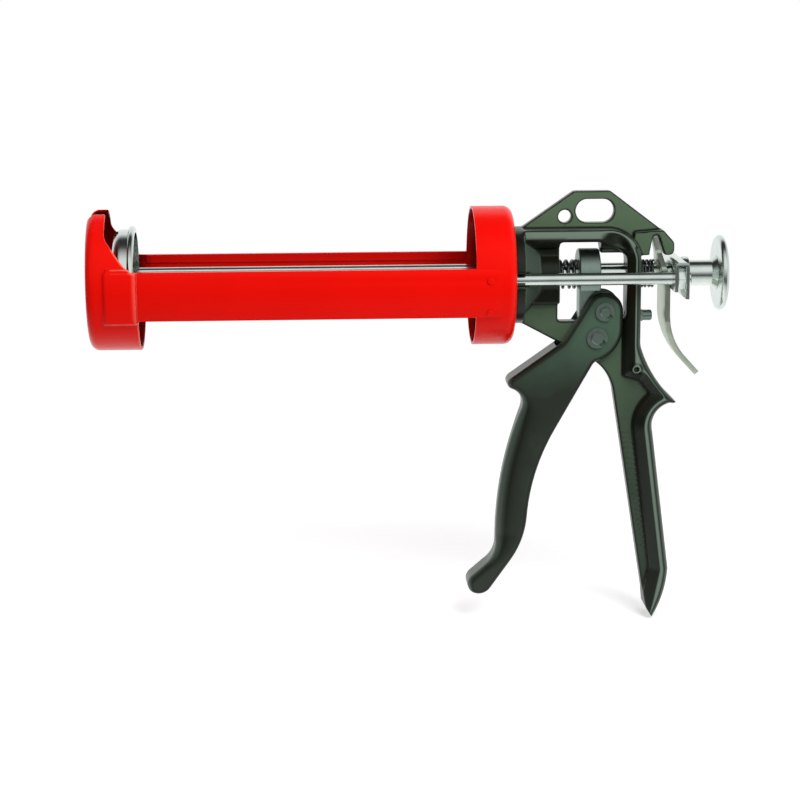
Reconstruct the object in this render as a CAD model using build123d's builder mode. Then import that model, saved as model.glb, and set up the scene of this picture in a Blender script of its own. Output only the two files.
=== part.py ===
"""Caulking gun with three rods for wide cartridges.

X runs along the cartridge axis from the nose to the pull knob, Z is up and Y crosses the gun.
The origin lies on the cartridge axis at the seat, the inner face of the nose plate.
All sizes are millimetres.
"""

import os
from math import cos, pi, radians, sin, sqrt, tan

from build123d import *

os.makedirs("parts", exist_ok=True)

# Clearances
PRESS_GAP = 0.02
RUNNING_GAP = 0.05
SLIDE_GAP = 0.25
WORKING_GAP = 0.4
PAINT_GAP = 0.05

# Cradle: pressed steel nose cup, rear cup and two rails
SHEET = 1.2
CRADLE_LENGTH = 200.2
REAR_CUP_RADIUS = 33.4
REAR_CUP_DEPTH = 19.4
NOSE_STEP = 0.7
NOSE_CUP_DEPTH = 24.6
CUP_CORNER = 4.5
NOTCH_WIDTH = 21.0
HORN_DEPTH = 7.8
HORN_ROOT = 22.5
HORN_REACH = 4.4
HORN_BEND = 6.0
RAIL_TOP = 7.5
RAIL_BOTTOM = -16.0
RAIL_NOSE_LAP = 14.4
RAIL_REAR_LAP = 12.4
RAIL_CORNER = 2.5
RAIL_HEM = 4.0
POCKET_MARGIN = 0.3
POCKET_EDGE = 0.9

# Rivets that hold each rail to the rear cup
RIVET_HEAD_RADIUS = 1.9
RIVET_SHANK_RADIUS = 1.2
RIVET_HEAD_HEIGHT = 0.7
RIVET_INSET = 6.4
RIVET_TOP_EDGE = 5.6
RIVET_LOW_EDGE = 2.4

# Rods
DRIVE_ROD_RADIUS = 4.0
SIDE_ROD_RADIUS = 3.0
SIDE_ROD_PITCH = 18.0

# Cast frame with its fixed handle, placed from its flange face
FLANGE_RADIUS = 23.4
FLANGE_THICKNESS = 5.0
WEB = 8.0
GUSSET_WEB = 6.0
SPINE_WIDTH = 21.0
RIB = 6.1
REAR_WALL = 6.8
HANDLE_RIM = 4.4
REAR_RIM = 3.0
RIB_FACE = 4.5
SPINE_SLOPE = 4.8
BOSS_RADIUS = 10.0
BOSS_LENGTH = 22.9
CONE_RADIUS = 19.0
CONE_LENGTH = 8.0
PIVOT_BOSS_WIDTH = 12.0
FRAME_REAR = 62.2
WINDOW_FRONT = 22.3
WINDOW_TOP = 16.4
WINDOW_BOTTOM = -22.5
BACKSTOP = 42.6
BACKSTOP_Z = 10.6
HANG_HOLE_RADIUS = 3.15
HANG_SLOT_LENGTH = 18.6
HANG_SLOT_HEIGHT = 11.4

# Trigger and its pins, placed from the pivot
PIVOT_U = 40.8
PIVOT_Z = -29.9
PIVOT_PIN_RADIUS = 3.0
THRUST_U = 3.6
THRUST_Z = 12.7
THRUST_PIN_RADIUS = 2.5
ROLLER_RADIUS = 4.5
TRIGGER_WIDTH = 19.0
TRIGGER_EDGE = 2.2
HEAD_RADIUS = 9.2
FORK_RADIUS = 19.5
CLIP_THICKNESS = 1.0
CLIP_WALL = 2.0
PIN_END = 1.2

# Grip block and its return spring
GRIP_LENGTH = 10.2
GRIP_RADIUS = 12.5
GRIP_TONGUE_BOTTOM = -21.5
SPRING_WIRE = 1.5
SPRING_RADIUS = 6.5
SPRING_TURNS = 6
SPRING_POCKET = 8.0

# Release lever, its spring and its stop screw
LEVER_SHEET = 2.5
LEVER_WIDTH = 24.0
LEVER_TAB_WIDTH = 9.0
LEVER_SETBACK = 7.1
LEVER_LEAN = 4.5
LEVER_PRESS = 6.0
LEVER_HINGE_Z = 17.6
LEVER_KNEE = 20.0
LEVER_DROP = 12.0
LEVER_SWEEP = 34.0
LEVER_TAIL = 10.5
LEVER_BOTTOM = -52.0
LEVER_TIP_HOLE = 1.3
LEVER_TIP_HOLE_Z = -44.5
RELEASE_WIRE = 1.2
RELEASE_RADIUS = 6.3
RELEASE_TURNS = 3
STOP_Z = -20.4
STOP_HEAD_RADIUS = 2.6
STOP_GAP = 0.1
STOP_SHANK_RADIUS = 1.5
STOP_NUT_FLATS = 5.5
STOP_NUT_HEIGHT = 1.6

# Pusher at the front of the rods
PUSHER_FRONT = 10.4
PUSHER_DEPTH = 10.4
PUSHER_RADIUS = 23.8
PUSHER_LIP = 1.5
PUSHER_SHEET = 1.5
PUSHER_NUT_HEIGHT = 4.2

# Bridge that ties the rods, and the pull knob
BRIDGE_GAP = 0.7
BRIDGE_LENGTH = 7.0
BRIDGE_SHEET = 1.6
BRIDGE_WIDTH = 48.0
BRIDGE_TOP = 8.2
BRIDGE_FRONT_DROP = -6.0
BRIDGE_REAR_DROP = -9.4
SIDE_NUT_FLATS = 10.0
SIDE_NUT_HEIGHT = 3.4
STEM_RADIUS = 6.2
STEM_LENGTH = 13.65
STEM_FLARE = 2.6
COLLAR_RADIUS = 8.0
COLLAR_LENGTH = 3.0
KNOB_RADIUS = 18.2
KNOB_RIM = 3.6
KNOB_THICKNESS = 5.2
KNOB_FLAT = 3.0
KNOB_BORE = 2.6

# Screws that hold the rear cup to the frame
CUP_SCREW_RADIUS = 2.5
CUP_SCREW_HEAD_RADIUS = 4.5
CUP_SCREW_HEAD_HEIGHT = 2.4
CUP_SCREW_DEPTH = 4.0
CUP_SCREW_Y = 10.0
CUP_SCREW_Z = 13.0

# Places worked out from the sizes above
CUP_BASE_X = CRADLE_LENGTH
FLANGE_X = CUP_BASE_X + SHEET
NOSE_CUP_RADIUS = REAR_CUP_RADIUS + NOSE_STEP
LEVER_HINGE_U = FRAME_REAR + LEVER_SETBACK
BRIDGE_FRONT = LEVER_HINGE_U + LEVER_LEAN + LEVER_SHEET / 2 + BRIDGE_GAP
REAR_RIM_X = FLANGE_X - REAR_CUP_DEPTH
NOSE_RIM_X = NOSE_CUP_DEPTH - SHEET
RAIL_IN = REAR_CUP_RADIUS + PAINT_GAP
RAIL_OUT = RAIL_IN + SHEET
RAIL_FRONT_X = NOSE_RIM_X - RAIL_NOSE_LAP
RAIL_REAR_X = REAR_RIM_X + RAIL_REAR_LAP
SIDE = Plane(origin=(FLANGE_X, 0, 0), x_dir=(1, 0, 0), z_dir=(0, -1, 0))
PIVOT = Plane(origin=(FLANGE_X + PIVOT_U, 0, PIVOT_Z), x_dir=(1, 0, 0), z_dir=(0, -1, 0))
FORK_GAP = PIVOT_BOSS_WIDTH / 2 + SLIDE_GAP


def across(x):
    """The plane square to the gun's axis at x, with Y to the right of the sketch and Z up."""
    return Plane(origin=(x, 0, 0), x_dir=(0, 1, 0), z_dir=(1, 0, 0))


def save(builder, name):
    """Labels a finished piece and writes its file."""
    builder.part.label = name
    export_step(builder.part, f"parts/{name}.step")


def rail_band(inner, outer, low, high, side):
    """A curved strip of the cradle's wall between two heights, on one side of the gun."""
    Circle(outer)
    Circle(inner, mode=Mode.SUBTRACT)
    with Locations((side * outer, (low + high) / 2)):
        Rectangle(outer, high - low, mode=Mode.INTERSECT)


def cup_section(mouth_x, base_x, radius, sheet, corner):
    """Half the section of a pressed cup, from its mouth to its flat base, ready to turn about X."""
    toward = 1 if base_x > mouth_x else -1
    with BuildSketch(Plane.XZ, mode=Mode.PRIVATE) as section:
        with BuildLine():
            wall = Line((mouth_x, radius), (base_x - toward * corner, radius))
            bend = TangentArc(wall @ 1, (base_x, radius - corner), tangent=(toward, 0))
            outer_base = Line(bend @ 1, (base_x, 0))
            step = Line(outer_base @ 1, (base_x - toward * sheet, 0))
            inner_base = Line(step @ 1, (base_x - toward * sheet, radius - corner))
            bend_end = (base_x - toward * corner, radius - sheet)
            inner_bend = TangentArc(inner_base @ 1, bend_end, tangent=(0, 1))
            inner_wall = Line(inner_bend @ 1, (mouth_x, radius - sheet))
            Line(inner_wall @ 1, wall @ 0)
        make_face()
    return section.sketch


# Nose cup: the cartridge's shoulder bears on its plate, and the nozzle stands out through the notch
POCKET_IN = RAIL_OUT + PAINT_GAP
POCKET_OUT = POCKET_IN + SHEET
with BuildPart() as nose_cup:
    revolve(cup_section(NOSE_RIM_X, -SHEET, NOSE_CUP_RADIUS, SHEET, CUP_CORNER), axis=Axis.X)
    for side in (-1, 1):
        with BuildSketch(across(RAIL_FRONT_X - POCKET_MARGIN - SHEET)):
            low = RAIL_BOTTOM - POCKET_MARGIN - SHEET
            rail_band(NOSE_CUP_RADIUS - SHEET, POCKET_OUT, low, RAIL_TOP, side)
        extrude(amount=RAIL_NOSE_LAP + POCKET_MARGIN + SHEET)
    rounds = nose_cup.edges().filter_by(GeomType.CIRCLE)
    pocket_ends = [edge for edge in rounds if abs(edge.radius - POCKET_OUT) < PRESS_GAP]
    chamfer(pocket_ends, length=POCKET_EDGE)
    for side in (-1, 1):
        with BuildSketch(across(RAIL_FRONT_X - POCKET_MARGIN)):
            low = RAIL_BOTTOM - POCKET_MARGIN
            rail_band(NOSE_CUP_RADIUS - 2 * SHEET, POCKET_IN, low, RAIL_TOP + SHEET, side)
        extrude(amount=RAIL_NOSE_LAP + POCKET_MARGIN + SHEET, mode=Mode.SUBTRACT)
    with BuildSketch(Plane.XZ):
        with BuildLine():
            slope = FilletPolyline(
                (HORN_DEPTH, NOSE_CUP_RADIUS + SHEET),
                (HORN_DEPTH, HORN_ROOT),
                (NOSE_RIM_X - HORN_REACH, RAIL_TOP),
                (NOSE_RIM_X + SHEET, RAIL_TOP),
                radius=HORN_BEND,
            )
            Polyline(slope @ 1, (NOSE_RIM_X + SHEET, NOSE_CUP_RADIUS + SHEET), slope @ 0)
        make_face()
    extrude(amount=POCKET_OUT, both=True, mode=Mode.SUBTRACT)
    with BuildSketch(across(-2 * SHEET)):
        with Locations((0, NOSE_CUP_RADIUS / 2)):
            Rectangle(NOTCH_WIDTH, NOSE_CUP_RADIUS)
        with Locations((0, NOSE_CUP_RADIUS)):
            Rectangle(NOTCH_WIDTH, NOSE_CUP_RADIUS)
        Circle(NOTCH_WIDTH / 2)
    extrude(amount=NOSE_CUP_DEPTH, mode=Mode.SUBTRACT)
save(nose_cup, "nose_cup")

# Rear cup: takes the back of the cartridge and is screwed to the frame's flange
SCREW_PLACES = [(y, z) for y in (-CUP_SCREW_Y, CUP_SCREW_Y) for z in (-CUP_SCREW_Z, CUP_SCREW_Z)]
SIDE_PLACES = [(-SIDE_ROD_PITCH, 0), (SIDE_ROD_PITCH, 0)]
RIVET_X = REAR_RIM_X + RIVET_INSET
RIVET_HEIGHTS = (RAIL_TOP - RIVET_TOP_EDGE, RAIL_BOTTOM + RIVET_LOW_EDGE)


def rivet_axis(height, side):
    """A plane on the rail's outer skin at one rivet, facing outwards."""
    out = sqrt(RAIL_OUT**2 - height**2)
    normal = (0, side * out / RAIL_OUT, height / RAIL_OUT)
    return Plane(origin=(RIVET_X, side * out, height), x_dir=(1, 0, 0), z_dir=normal)


RIVET_PLANES = [rivet_axis(height, side) for side in (-1, 1) for height in RIVET_HEIGHTS]
with BuildPart() as rear_cup:
    revolve(cup_section(REAR_RIM_X, FLANGE_X, REAR_CUP_RADIUS, SHEET, CUP_CORNER), axis=Axis.X)
    with BuildSketch(across(CUP_BASE_X)):
        Circle(DRIVE_ROD_RADIUS + WORKING_GAP)
        with Locations(*SIDE_PLACES):
            Circle(SIDE_ROD_RADIUS + WORKING_GAP)
        with Locations(*SCREW_PLACES):
            Circle(CUP_SCREW_RADIUS + SLIDE_GAP)
    extrude(amount=SHEET, mode=Mode.SUBTRACT)
    for plane in RIVET_PLANES:
        with BuildSketch(plane):
            Circle(RIVET_SHANK_RADIUS + PRESS_GAP)
        extrude(amount=-4 * SHEET, mode=Mode.SUBTRACT)
save(rear_cup, "rear_cup")

# Rails: two curved strips with folded edges that join the cups and leave the cradle open above and below
for name, side in (("left_rail", -1), ("right_rail", 1)):
    with BuildPart() as rail:
        with BuildSketch(across(RAIL_FRONT_X - SHEET)):
            rail_band(RAIL_IN, RAIL_OUT, RAIL_BOTTOM - SHEET, RAIL_TOP + SHEET, side)
        extrude(amount=RAIL_REAR_X - RAIL_FRONT_X + 2 * SHEET)
        with BuildSketch(Plane.XZ):
            with Locations(((RAIL_FRONT_X + RAIL_REAR_X) / 2, (RAIL_BOTTOM + RAIL_TOP) / 2)):
                Rectangle(RAIL_REAR_X - RAIL_FRONT_X, RAIL_TOP - RAIL_BOTTOM)
            fillet(vertices().group_by(Axis.X)[-1], radius=RAIL_CORNER)
        extrude(amount=RAIL_OUT, both=True, mode=Mode.INTERSECT)
        for low in (RAIL_BOTTOM, RAIL_TOP - RAIL_HEM):
            with BuildSketch(across(NOSE_RIM_X + WORKING_GAP)):
                rail_band(RAIL_IN - SHEET, RAIL_IN + SHEET / 2, low, low + RAIL_HEM, side)
            extrude(amount=REAR_RIM_X - NOSE_RIM_X - 2 * WORKING_GAP)
        for plane in RIVET_PLANES:
            with BuildSketch(plane):
                Circle(RIVET_SHANK_RADIUS + PRESS_GAP)
            extrude(amount=-4 * SHEET, mode=Mode.SUBTRACT)
    save(rail, name)

# Rivets: low domed heads outside, closed heads inside the rear cup
RIVET_GRIP = 2 * SHEET + 2 * PAINT_GAP
with BuildPart() as rail_rivets:
    for plane in RIVET_PLANES:
        with BuildSketch(plane.offset(PAINT_GAP)):
            Circle(RIVET_HEAD_RADIUS)
        extrude(amount=RIVET_HEAD_HEIGHT, taper=35)
        with BuildSketch(plane.offset(PAINT_GAP)):
            Circle(RIVET_SHANK_RADIUS)
        extrude(amount=-RIVET_GRIP - RIVET_HEAD_HEIGHT)
        with BuildSketch(plane.offset(-RIVET_GRIP)):
            Circle(RIVET_HEAD_RADIUS)
        extrude(amount=-RIVET_HEAD_HEIGHT)
save(rail_rivets, "rail_rivets")

# Screws: pan heads inside the rear cup, shanks in the frame's flange
with BuildPart() as cup_screws:
    with Locations(*[across(CUP_BASE_X - PAINT_GAP).location * Location((y, z, 0)) for y, z in SCREW_PLACES]):
        Cylinder(CUP_SCREW_HEAD_RADIUS, CUP_SCREW_HEAD_HEIGHT, align=(Align.CENTER, Align.CENTER, Align.MAX))
    head_rims = cup_screws.edges().filter_by(GeomType.CIRCLE).group_by(Axis.X)[0]
    fillet(head_rims, radius=CUP_SCREW_HEAD_HEIGHT / 2)
    with BuildSketch(across(CUP_BASE_X - PAINT_GAP)):
        with Locations(*SCREW_PLACES):
            Circle(CUP_SCREW_RADIUS)
    extrude(amount=PAINT_GAP + SHEET + CUP_SCREW_DEPTH)
    with BuildSketch(across(CUP_BASE_X - PAINT_GAP - CUP_SCREW_HEAD_HEIGHT)):
        with Locations(*SCREW_PLACES):
            Rectangle(CUP_SCREW_HEAD_RADIUS, SHEET / 1.5)
            Rectangle(SHEET / 1.5, CUP_SCREW_HEAD_RADIUS)
    extrude(amount=CUP_SCREW_HEAD_HEIGHT / 2, mode=Mode.SUBTRACT)
save(cup_screws, "cup_screws")

# Cast frame: flange, rod boss, web, hanging gusset, thick spine, fixed handle and lever hook
SPINE_TOP = WINDOW_TOP + RIB
WINDOW_REAR = FRAME_REAR - REAR_WALL
HOOK_FRONT = LEVER_HINGE_U + LEVER_SHEET / 2 + WORKING_GAP + 1.0
HOOK_LENGTH = 6.4
HOOK_BOTTOM = BRIDGE_TOP + 1.2
BEAK = (80.3, -62.4)
GRIP_TOP = (68.8, -77.0)
GRIP_LOW = (77.6, -146.0)
HANDLE_TIP = (70.0, -171.0)
FRONT_TOP = (49.5, -56.0)
FRONT_LOW = (66.9, -166.0)
TOE_IN = (65.8, -159.0)
ARCH = (36.0, -40.0)
ARCH_MIDDLE = (43.6, -45.0)
BEAK_IN = (67.4, -58.4)
BROW_IN = (62.2, -51.8)
HOLLOW_IN = (61.2, -66.4)
BROW_CORNER = -49.6
GUSSET_FRONT = (29.8, 40.5)
GUSSET_REAR = (47.3, 40.5)
HANG_HOLE = (25.4, 28.3)
HANG_SLOT = (40.0, 30.9)
SPOT = (60.0, -45.5)
SPOT_RADIUS = 2.4
SPOT_HOLE = 1.1
SPOT_HEIGHT = 0.6

WALL_IN = FRAME_REAR - REAR_RIM - SPINE_SLOPE
RIB_IN = SPINE_TOP - RIB_FACE - SPINE_SLOPE
PALM_IN = HANDLE_RIM + SPINE_SLOPE
SHOULDER = 16.0
INNER_CORNER = 6.0
BROW_TOP = (FRAME_REAR, -34.0)
BROW_MIDDLE = (69.5, -50.0)
HOLLOW_MIDDLE = (70.8, -66.8)
HEEL_MIDDLE = (75.6, -158.0)

with BuildPart() as frame:
    # Spine: top rib, rear wall and the rim that the palm presses on, sloping down to the web inside
    with BuildSketch(SIDE):
        with BuildLine():
            rib_top = Line((FLANGE_THICKNESS, SPINE_TOP), (FRAME_REAR - SHOULDER, SPINE_TOP))
            shoulder = TangentArc(rib_top @ 1, (FRAME_REAR, SPINE_TOP - SHOULDER), tangent=(1, 0))
            wall = Line(shoulder @ 1, BROW_TOP)
            brow_out = ThreePointArc(wall @ 1, BROW_MIDDLE, BEAK)
            hollow_out = ThreePointArc(brow_out @ 1, HOLLOW_MIDDLE, GRIP_TOP)
            palm_out = Line(hollow_out @ 1, GRIP_LOW)
            heel_out = ThreePointArc(palm_out @ 1, HEEL_MIDDLE, HANDLE_TIP)
            toe_in = Polyline(heel_out @ 1, FRONT_LOW, TOE_IN)
            heel_in = Line(toe_in @ 1, (GRIP_LOW[0] - PALM_IN, GRIP_LOW[1]))
            palm_in = Line(heel_in @ 1, (GRIP_TOP[0] - PALM_IN, GRIP_TOP[1]))
            hollow_in = ThreePointArc(palm_in @ 1, HOLLOW_IN, BEAK_IN)
            brow_in = Line(hollow_in @ 1, BROW_IN)
            turn_in = Line(brow_in @ 1, (WALL_IN, BROW_CORNER))
            wall_in = Line(turn_in @ 1, (WALL_IN, RIB_IN - INNER_CORNER))
            corner_in = TangentArc(wall_in @ 1, (WALL_IN - INNER_CORNER, RIB_IN), tangent=(0, 1))
            rib_in = Line(corner_in @ 1, (FLANGE_THICKNESS, RIB_IN))
            Line(rib_in @ 1, rib_top @ 0)
        make_face()
    extrude(amount=SPINE_WIDTH / 2, both=True)
    inner_edges = []
    for run in (heel_in, palm_in, hollow_in, brow_in, turn_in, wall_in, corner_in, rib_in):
        for face_y in (-SPINE_WIDTH / 2, SPINE_WIDTH / 2):
            middle = run @ 0.5
            near = Vector(FLANGE_X + middle.X, face_y, middle.Y)
            inner_edges.append(frame.edges().sort_by_distance(near)[0])
    chamfer(inner_edges, length=SPINE_SLOPE)
    # Gusset: the flat top with the two hanging holes
    with BuildSketch(SIDE):
        with BuildLine():
            Polyline(
                (FLANGE_THICKNESS, SPINE_TOP - RIB / 2),
                (FLANGE_THICKNESS, FLANGE_RADIUS),
                GUSSET_FRONT,
                GUSSET_REAR,
                (HOOK_FRONT + HOOK_LENGTH / 3, LEVER_HINGE_Z + 2.6),
                (FRAME_REAR - REAR_RIM, LEVER_HINGE_Z - RIB),
                close=True,
            )
        make_face()
    extrude(amount=GUSSET_WEB / 2, both=True)
    # Web: the thin plate that carries everything
    with BuildSketch(SIDE):
        with BuildLine():
            belly = Line((FLANGE_THICKNESS, -FLANGE_RADIUS), ARCH)
            arch = ThreePointArc(belly @ 1, ARCH_MIDDLE, FRONT_TOP)
            front = Line(arch @ 1, FRONT_LOW)
            toe = Line(front @ 1, HANDLE_TIP)
            heel = ThreePointArc(toe @ 1, HEEL_MIDDLE, GRIP_LOW)
            palm = Line(heel @ 1, GRIP_TOP)
            hollow = ThreePointArc(palm @ 1, HOLLOW_MIDDLE, BEAK)
            brow = ThreePointArc(hollow @ 1, BROW_MIDDLE, BROW_TOP)
            back = Line(brow @ 1, (FRAME_REAR, SPINE_TOP - SHOULDER))
            turn = TangentArc(back @ 1, (FRAME_REAR - SHOULDER, SPINE_TOP), tangent=(0, 1))
            close = Line(turn @ 1, (FLANGE_THICKNESS, SPINE_TOP))
            Line(close @ 1, belly @ 0)
        make_face()
    extrude(amount=WEB / 2, both=True)
    # Small drilled boss where the spine turns into the brow
    with BuildSketch(SIDE):
        with Locations(SPOT):
            Circle(SPOT_RADIUS)
    extrude(amount=SPINE_WIDTH / 2 + SPOT_HEIGHT, both=True)
    # Flange and rod boss
    with BuildSketch(across(FLANGE_X + PAINT_GAP)):
        Circle(FLANGE_RADIUS)
    extrude(amount=FLANGE_THICKNESS - PAINT_GAP)
    with BuildSketch(across(FLANGE_X + FLANGE_THICKNESS)):
        Circle(CONE_RADIUS)
    extrude(amount=CONE_LENGTH, taper=45)
    with BuildSketch(across(FLANGE_X + FLANGE_THICKNESS / 2)):
        Circle(BOSS_RADIUS)
        with Locations((0, -BOSS_RADIUS / 2)):
            Rectangle(2 * BOSS_RADIUS - 4.0, BOSS_RADIUS + 7.0)
    extrude(amount=BOSS_LENGTH - FLANGE_THICKNESS / 2)
    # Thick pad round the trigger pivot
    with BuildSketch(PIVOT):
        Circle(7.2)
    extrude(amount=PIVOT_BOSS_WIDTH / 2, both=True)
    # Window that shows the drive, with the step that stops the grip block
    with BuildSketch(SIDE):
        with BuildLine():
            Polyline(
                (BOSS_LENGTH, WINDOW_BOTTOM),
                (WINDOW_REAR, WINDOW_BOTTOM),
                (WINDOW_REAR, BACKSTOP_Z),
                (BACKSTOP, BACKSTOP_Z),
                (BACKSTOP, WINDOW_TOP),
                (BOSS_LENGTH, WINDOW_TOP),
                close=True,
            )
        make_face()
        with Locations(((WINDOW_FRONT + BOSS_LENGTH) / 2, (WINDOW_BOTTOM - BOSS_RADIUS - 3.5) / 2)):
            Rectangle(BOSS_LENGTH - WINDOW_FRONT, -WINDOW_BOTTOM - BOSS_RADIUS - 3.5)
        fillet(vertices().group_by(Axis.X)[-1], radius=3.0)
    extrude(amount=SPINE_WIDTH, both=True, mode=Mode.SUBTRACT)
    # Hook behind the spine that holds the top of the release lever
    with BuildSketch(SIDE):
        with BuildLine():
            Polyline(
                (FRAME_REAR - REAR_WALL / 2, SPINE_TOP - 2.0),
                (FRAME_REAR - REAR_WALL / 2, HOOK_BOTTOM),
                (HOOK_FRONT + HOOK_LENGTH, HOOK_BOTTOM),
                (HOOK_FRONT + HOOK_LENGTH, LEVER_HINGE_Z - 2.0),
                (HOOK_FRONT + 1.0, LEVER_HINGE_Z + 4.0),
                close=True,
            )
        make_face()
        fillet(vertices().group_by(Axis.X)[-1], radius=2.4)
    extrude(amount=LEVER_TAB_WIDTH / 2 + 1.0, both=True)
    with BuildSketch(SIDE):
        slot_half = LEVER_SHEET / 2 + WORKING_GAP
        with Locations((LEVER_HINGE_U, LEVER_HINGE_Z)):
            Circle(slot_half)
        with BuildLine():
            Polyline(
                (LEVER_HINGE_U - slot_half, LEVER_HINGE_Z),
                (LEVER_HINGE_U - slot_half - 1.6, HOOK_BOTTOM - 1.0),
                (LEVER_HINGE_U + slot_half + 3.0, HOOK_BOTTOM - 1.0),
                (LEVER_HINGE_U + slot_half, LEVER_HINGE_Z),
                close=True,
            )
        make_face()
    extrude(amount=SPINE_WIDTH, both=True, mode=Mode.SUBTRACT)
    # Hanging holes
    with BuildSketch(SIDE):
        with Locations(HANG_HOLE):
            Circle(HANG_HOLE_RADIUS)
        with Locations(HANG_SLOT):
            SlotOverall(HANG_SLOT_LENGTH, HANG_SLOT_HEIGHT)
    extrude(amount=SPINE_WIDTH, both=True, mode=Mode.SUBTRACT)
    # Rod holes, spring pocket, screw holes, pivot hole and stop-screw hole
    with BuildSketch(across(FLANGE_X)):
        Circle(DRIVE_ROD_RADIUS + SLIDE_GAP)
    extrude(amount=FRAME_REAR + SHEET, mode=Mode.SUBTRACT)
    with BuildSketch(across(FLANGE_X + BOSS_LENGTH)):
        Circle(SPRING_RADIUS + SPRING_WIRE / 2 + WORKING_GAP)
    extrude(amount=-SPRING_POCKET, mode=Mode.SUBTRACT)
    with BuildSketch(across(FLANGE_X)):
        with Locations(*SIDE_PLACES):
            Circle(SIDE_ROD_RADIUS + SLIDE_GAP)
        with Locations((-FLANGE_RADIUS, 0), (FLANGE_RADIUS, 0)):
            Rectangle(2 * (FLANGE_RADIUS - SIDE_ROD_PITCH), 2 * (SIDE_ROD_RADIUS + SLIDE_GAP))
    extrude(amount=FLANGE_THICKNESS + CONE_LENGTH, mode=Mode.SUBTRACT)
    with BuildSketch(across(FLANGE_X)):
        with Locations(*SCREW_PLACES):
            Circle(CUP_SCREW_RADIUS + PRESS_GAP)
    extrude(amount=CUP_SCREW_DEPTH + WORKING_GAP, mode=Mode.SUBTRACT)
    with BuildSketch(PIVOT):
        Circle(PIVOT_PIN_RADIUS + PRESS_GAP)
    extrude(amount=SPINE_WIDTH, both=True, mode=Mode.SUBTRACT)
    with BuildSketch(SIDE):
        with Locations(SPOT):
            Circle(SPOT_HOLE)
    extrude(amount=SPINE_WIDTH, both=True, mode=Mode.SUBTRACT)
    with BuildSketch(across(FLANGE_X + FRAME_REAR)):
        with Locations((0, STOP_Z)):
            Circle(STOP_SHANK_RADIUS + PRESS_GAP)
    extrude(amount=-REAR_WALL, mode=Mode.SUBTRACT)
save(frame, "frame")

# Trigger: a forked casting that rocks on the pivot pin and pulls the grip block along the rod
NECK_LENGTH = 23.6
NECK_BEND = 12.0
THROAT_RADIUS = 7.8
FINGER_RADIUS = 177.0
TOE_RADIUS = 4.9
HOOK_TOP = (-41.8, -20.0)
HOOK_UNDER = (-41.0, -25.2)
FLICK_RADIUS = 14.0
TAIL_LENGTH = 9.7
SOLE_RADIUS = 7.0
RISE_LENGTH = 17.1
WAIST_RADIUS = 44.0
REAR_RADIUS = 104.0
REAR_LENGTH = 38.6
with BuildPart() as trigger:
    with BuildSketch(PIVOT):
        with BuildLine():
            head = ThreePointArc(
                (THRUST_U + HEAD_RADIUS, THRUST_Z),
                (THRUST_U, THRUST_Z + HEAD_RADIUS),
                (THRUST_U - HEAD_RADIUS * cos(radians(32)), THRUST_Z + HEAD_RADIUS * sin(radians(32))),
            )
            neck = Line(head @ 1, head @ 1 + (head % 1) * NECK_LENGTH)
            guard = Line(neck @ 1, HOOK_TOP)
            hook = TangentArc(guard @ 1, HOOK_UNDER, tangent=guard % 1)
            throat = JernArc(hook @ 1, hook % 1, radius=THROAT_RADIUS, arc_size=-94)
            fingers = JernArc(throat @ 1, throat % 1, radius=FINGER_RADIUS, arc_size=22)
            flick = JernArc(fingers @ 1, fingers % 1, radius=FLICK_RADIUS, arc_size=-50)
            tail = Line(flick @ 1, flick @ 1 + (flick % 1) * TAIL_LENGTH)
            toe = JernArc(tail @ 1, tail % 1, radius=TOE_RADIUS, arc_size=121)
            sole = JernArc(toe @ 1, toe % 1, radius=SOLE_RADIUS, arc_size=73)
            rise = Line(sole @ 1, sole @ 1 + (sole % 1) * RISE_LENGTH)
            waist = JernArc(rise @ 1, rise % 1, radius=WAIST_RADIUS, arc_size=31)
            hollow = JernArc(waist @ 1, waist % 1, radius=REAR_RADIUS, arc_size=-25)
            rear = Line(hollow @ 1, hollow @ 1 + (hollow % 1) * REAR_LENGTH)
            side_line = Line(head @ 0, (THRUST_U + HEAD_RADIUS, 5.0))
            TangentArc(side_line @ 1, rear @ 1, tangent=side_line % 1)
        make_face()
        fillet(vertices().sort_by_distance(neck @ 1)[0], radius=NECK_BEND)
        fillet(vertices().sort_by_distance(rear @ 1)[0], radius=4.0)
    extrude(amount=TRIGGER_WIDTH / 2, both=True)
    fillet(trigger.faces().filter_by(Axis.Y).edges(), radius=TRIGGER_EDGE)
    # Fork that straddles the frame
    with BuildSketch(PIVOT):
        Circle(FORK_RADIUS)
        with Locations((THRUST_U, THRUST_Z)):
            Circle(FORK_RADIUS)
    extrude(amount=FORK_GAP, both=True, mode=Mode.SUBTRACT)
    with BuildSketch(PIVOT):
        Circle(PIVOT_PIN_RADIUS + RUNNING_GAP)
        with Locations((THRUST_U, THRUST_Z)):
            Circle(THRUST_PIN_RADIUS + PRESS_GAP)
    extrude(amount=TRIGGER_WIDTH, both=True, mode=Mode.SUBTRACT)
save(trigger, "trigger")

# Pins, clips and thrust roller
GROOVE_DEPTH = 0.5
CLIP_INNER = TRIGGER_WIDTH / 2 + SLIDE_GAP
PIN_HALF = CLIP_INNER + CLIP_THICKNESS + PIN_END
THRUST = PIVOT.location * Location((THRUST_U, THRUST_Z, 0))


def pin_section(radius):
    """Half the section of a pin with a clip groove near each end, ready to turn about its own length."""
    inner = CLIP_INNER - PAINT_GAP
    outer = CLIP_INNER + CLIP_THICKNESS + PAINT_GAP
    neck = radius - GROOVE_DEPTH
    half = [(0, PIN_HALF), (radius - 0.4, PIN_HALF), (radius, PIN_HALF - 0.4), (radius, outer), (neck, outer)]
    half += [(neck, inner), (radius, inner)]
    with BuildSketch(Plane.XY, mode=Mode.PRIVATE) as section:
        with BuildLine():
            Polyline(*half, *[(r, -y) for r, y in reversed(half)], close=True)
        make_face()
    return section.sketch


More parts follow.
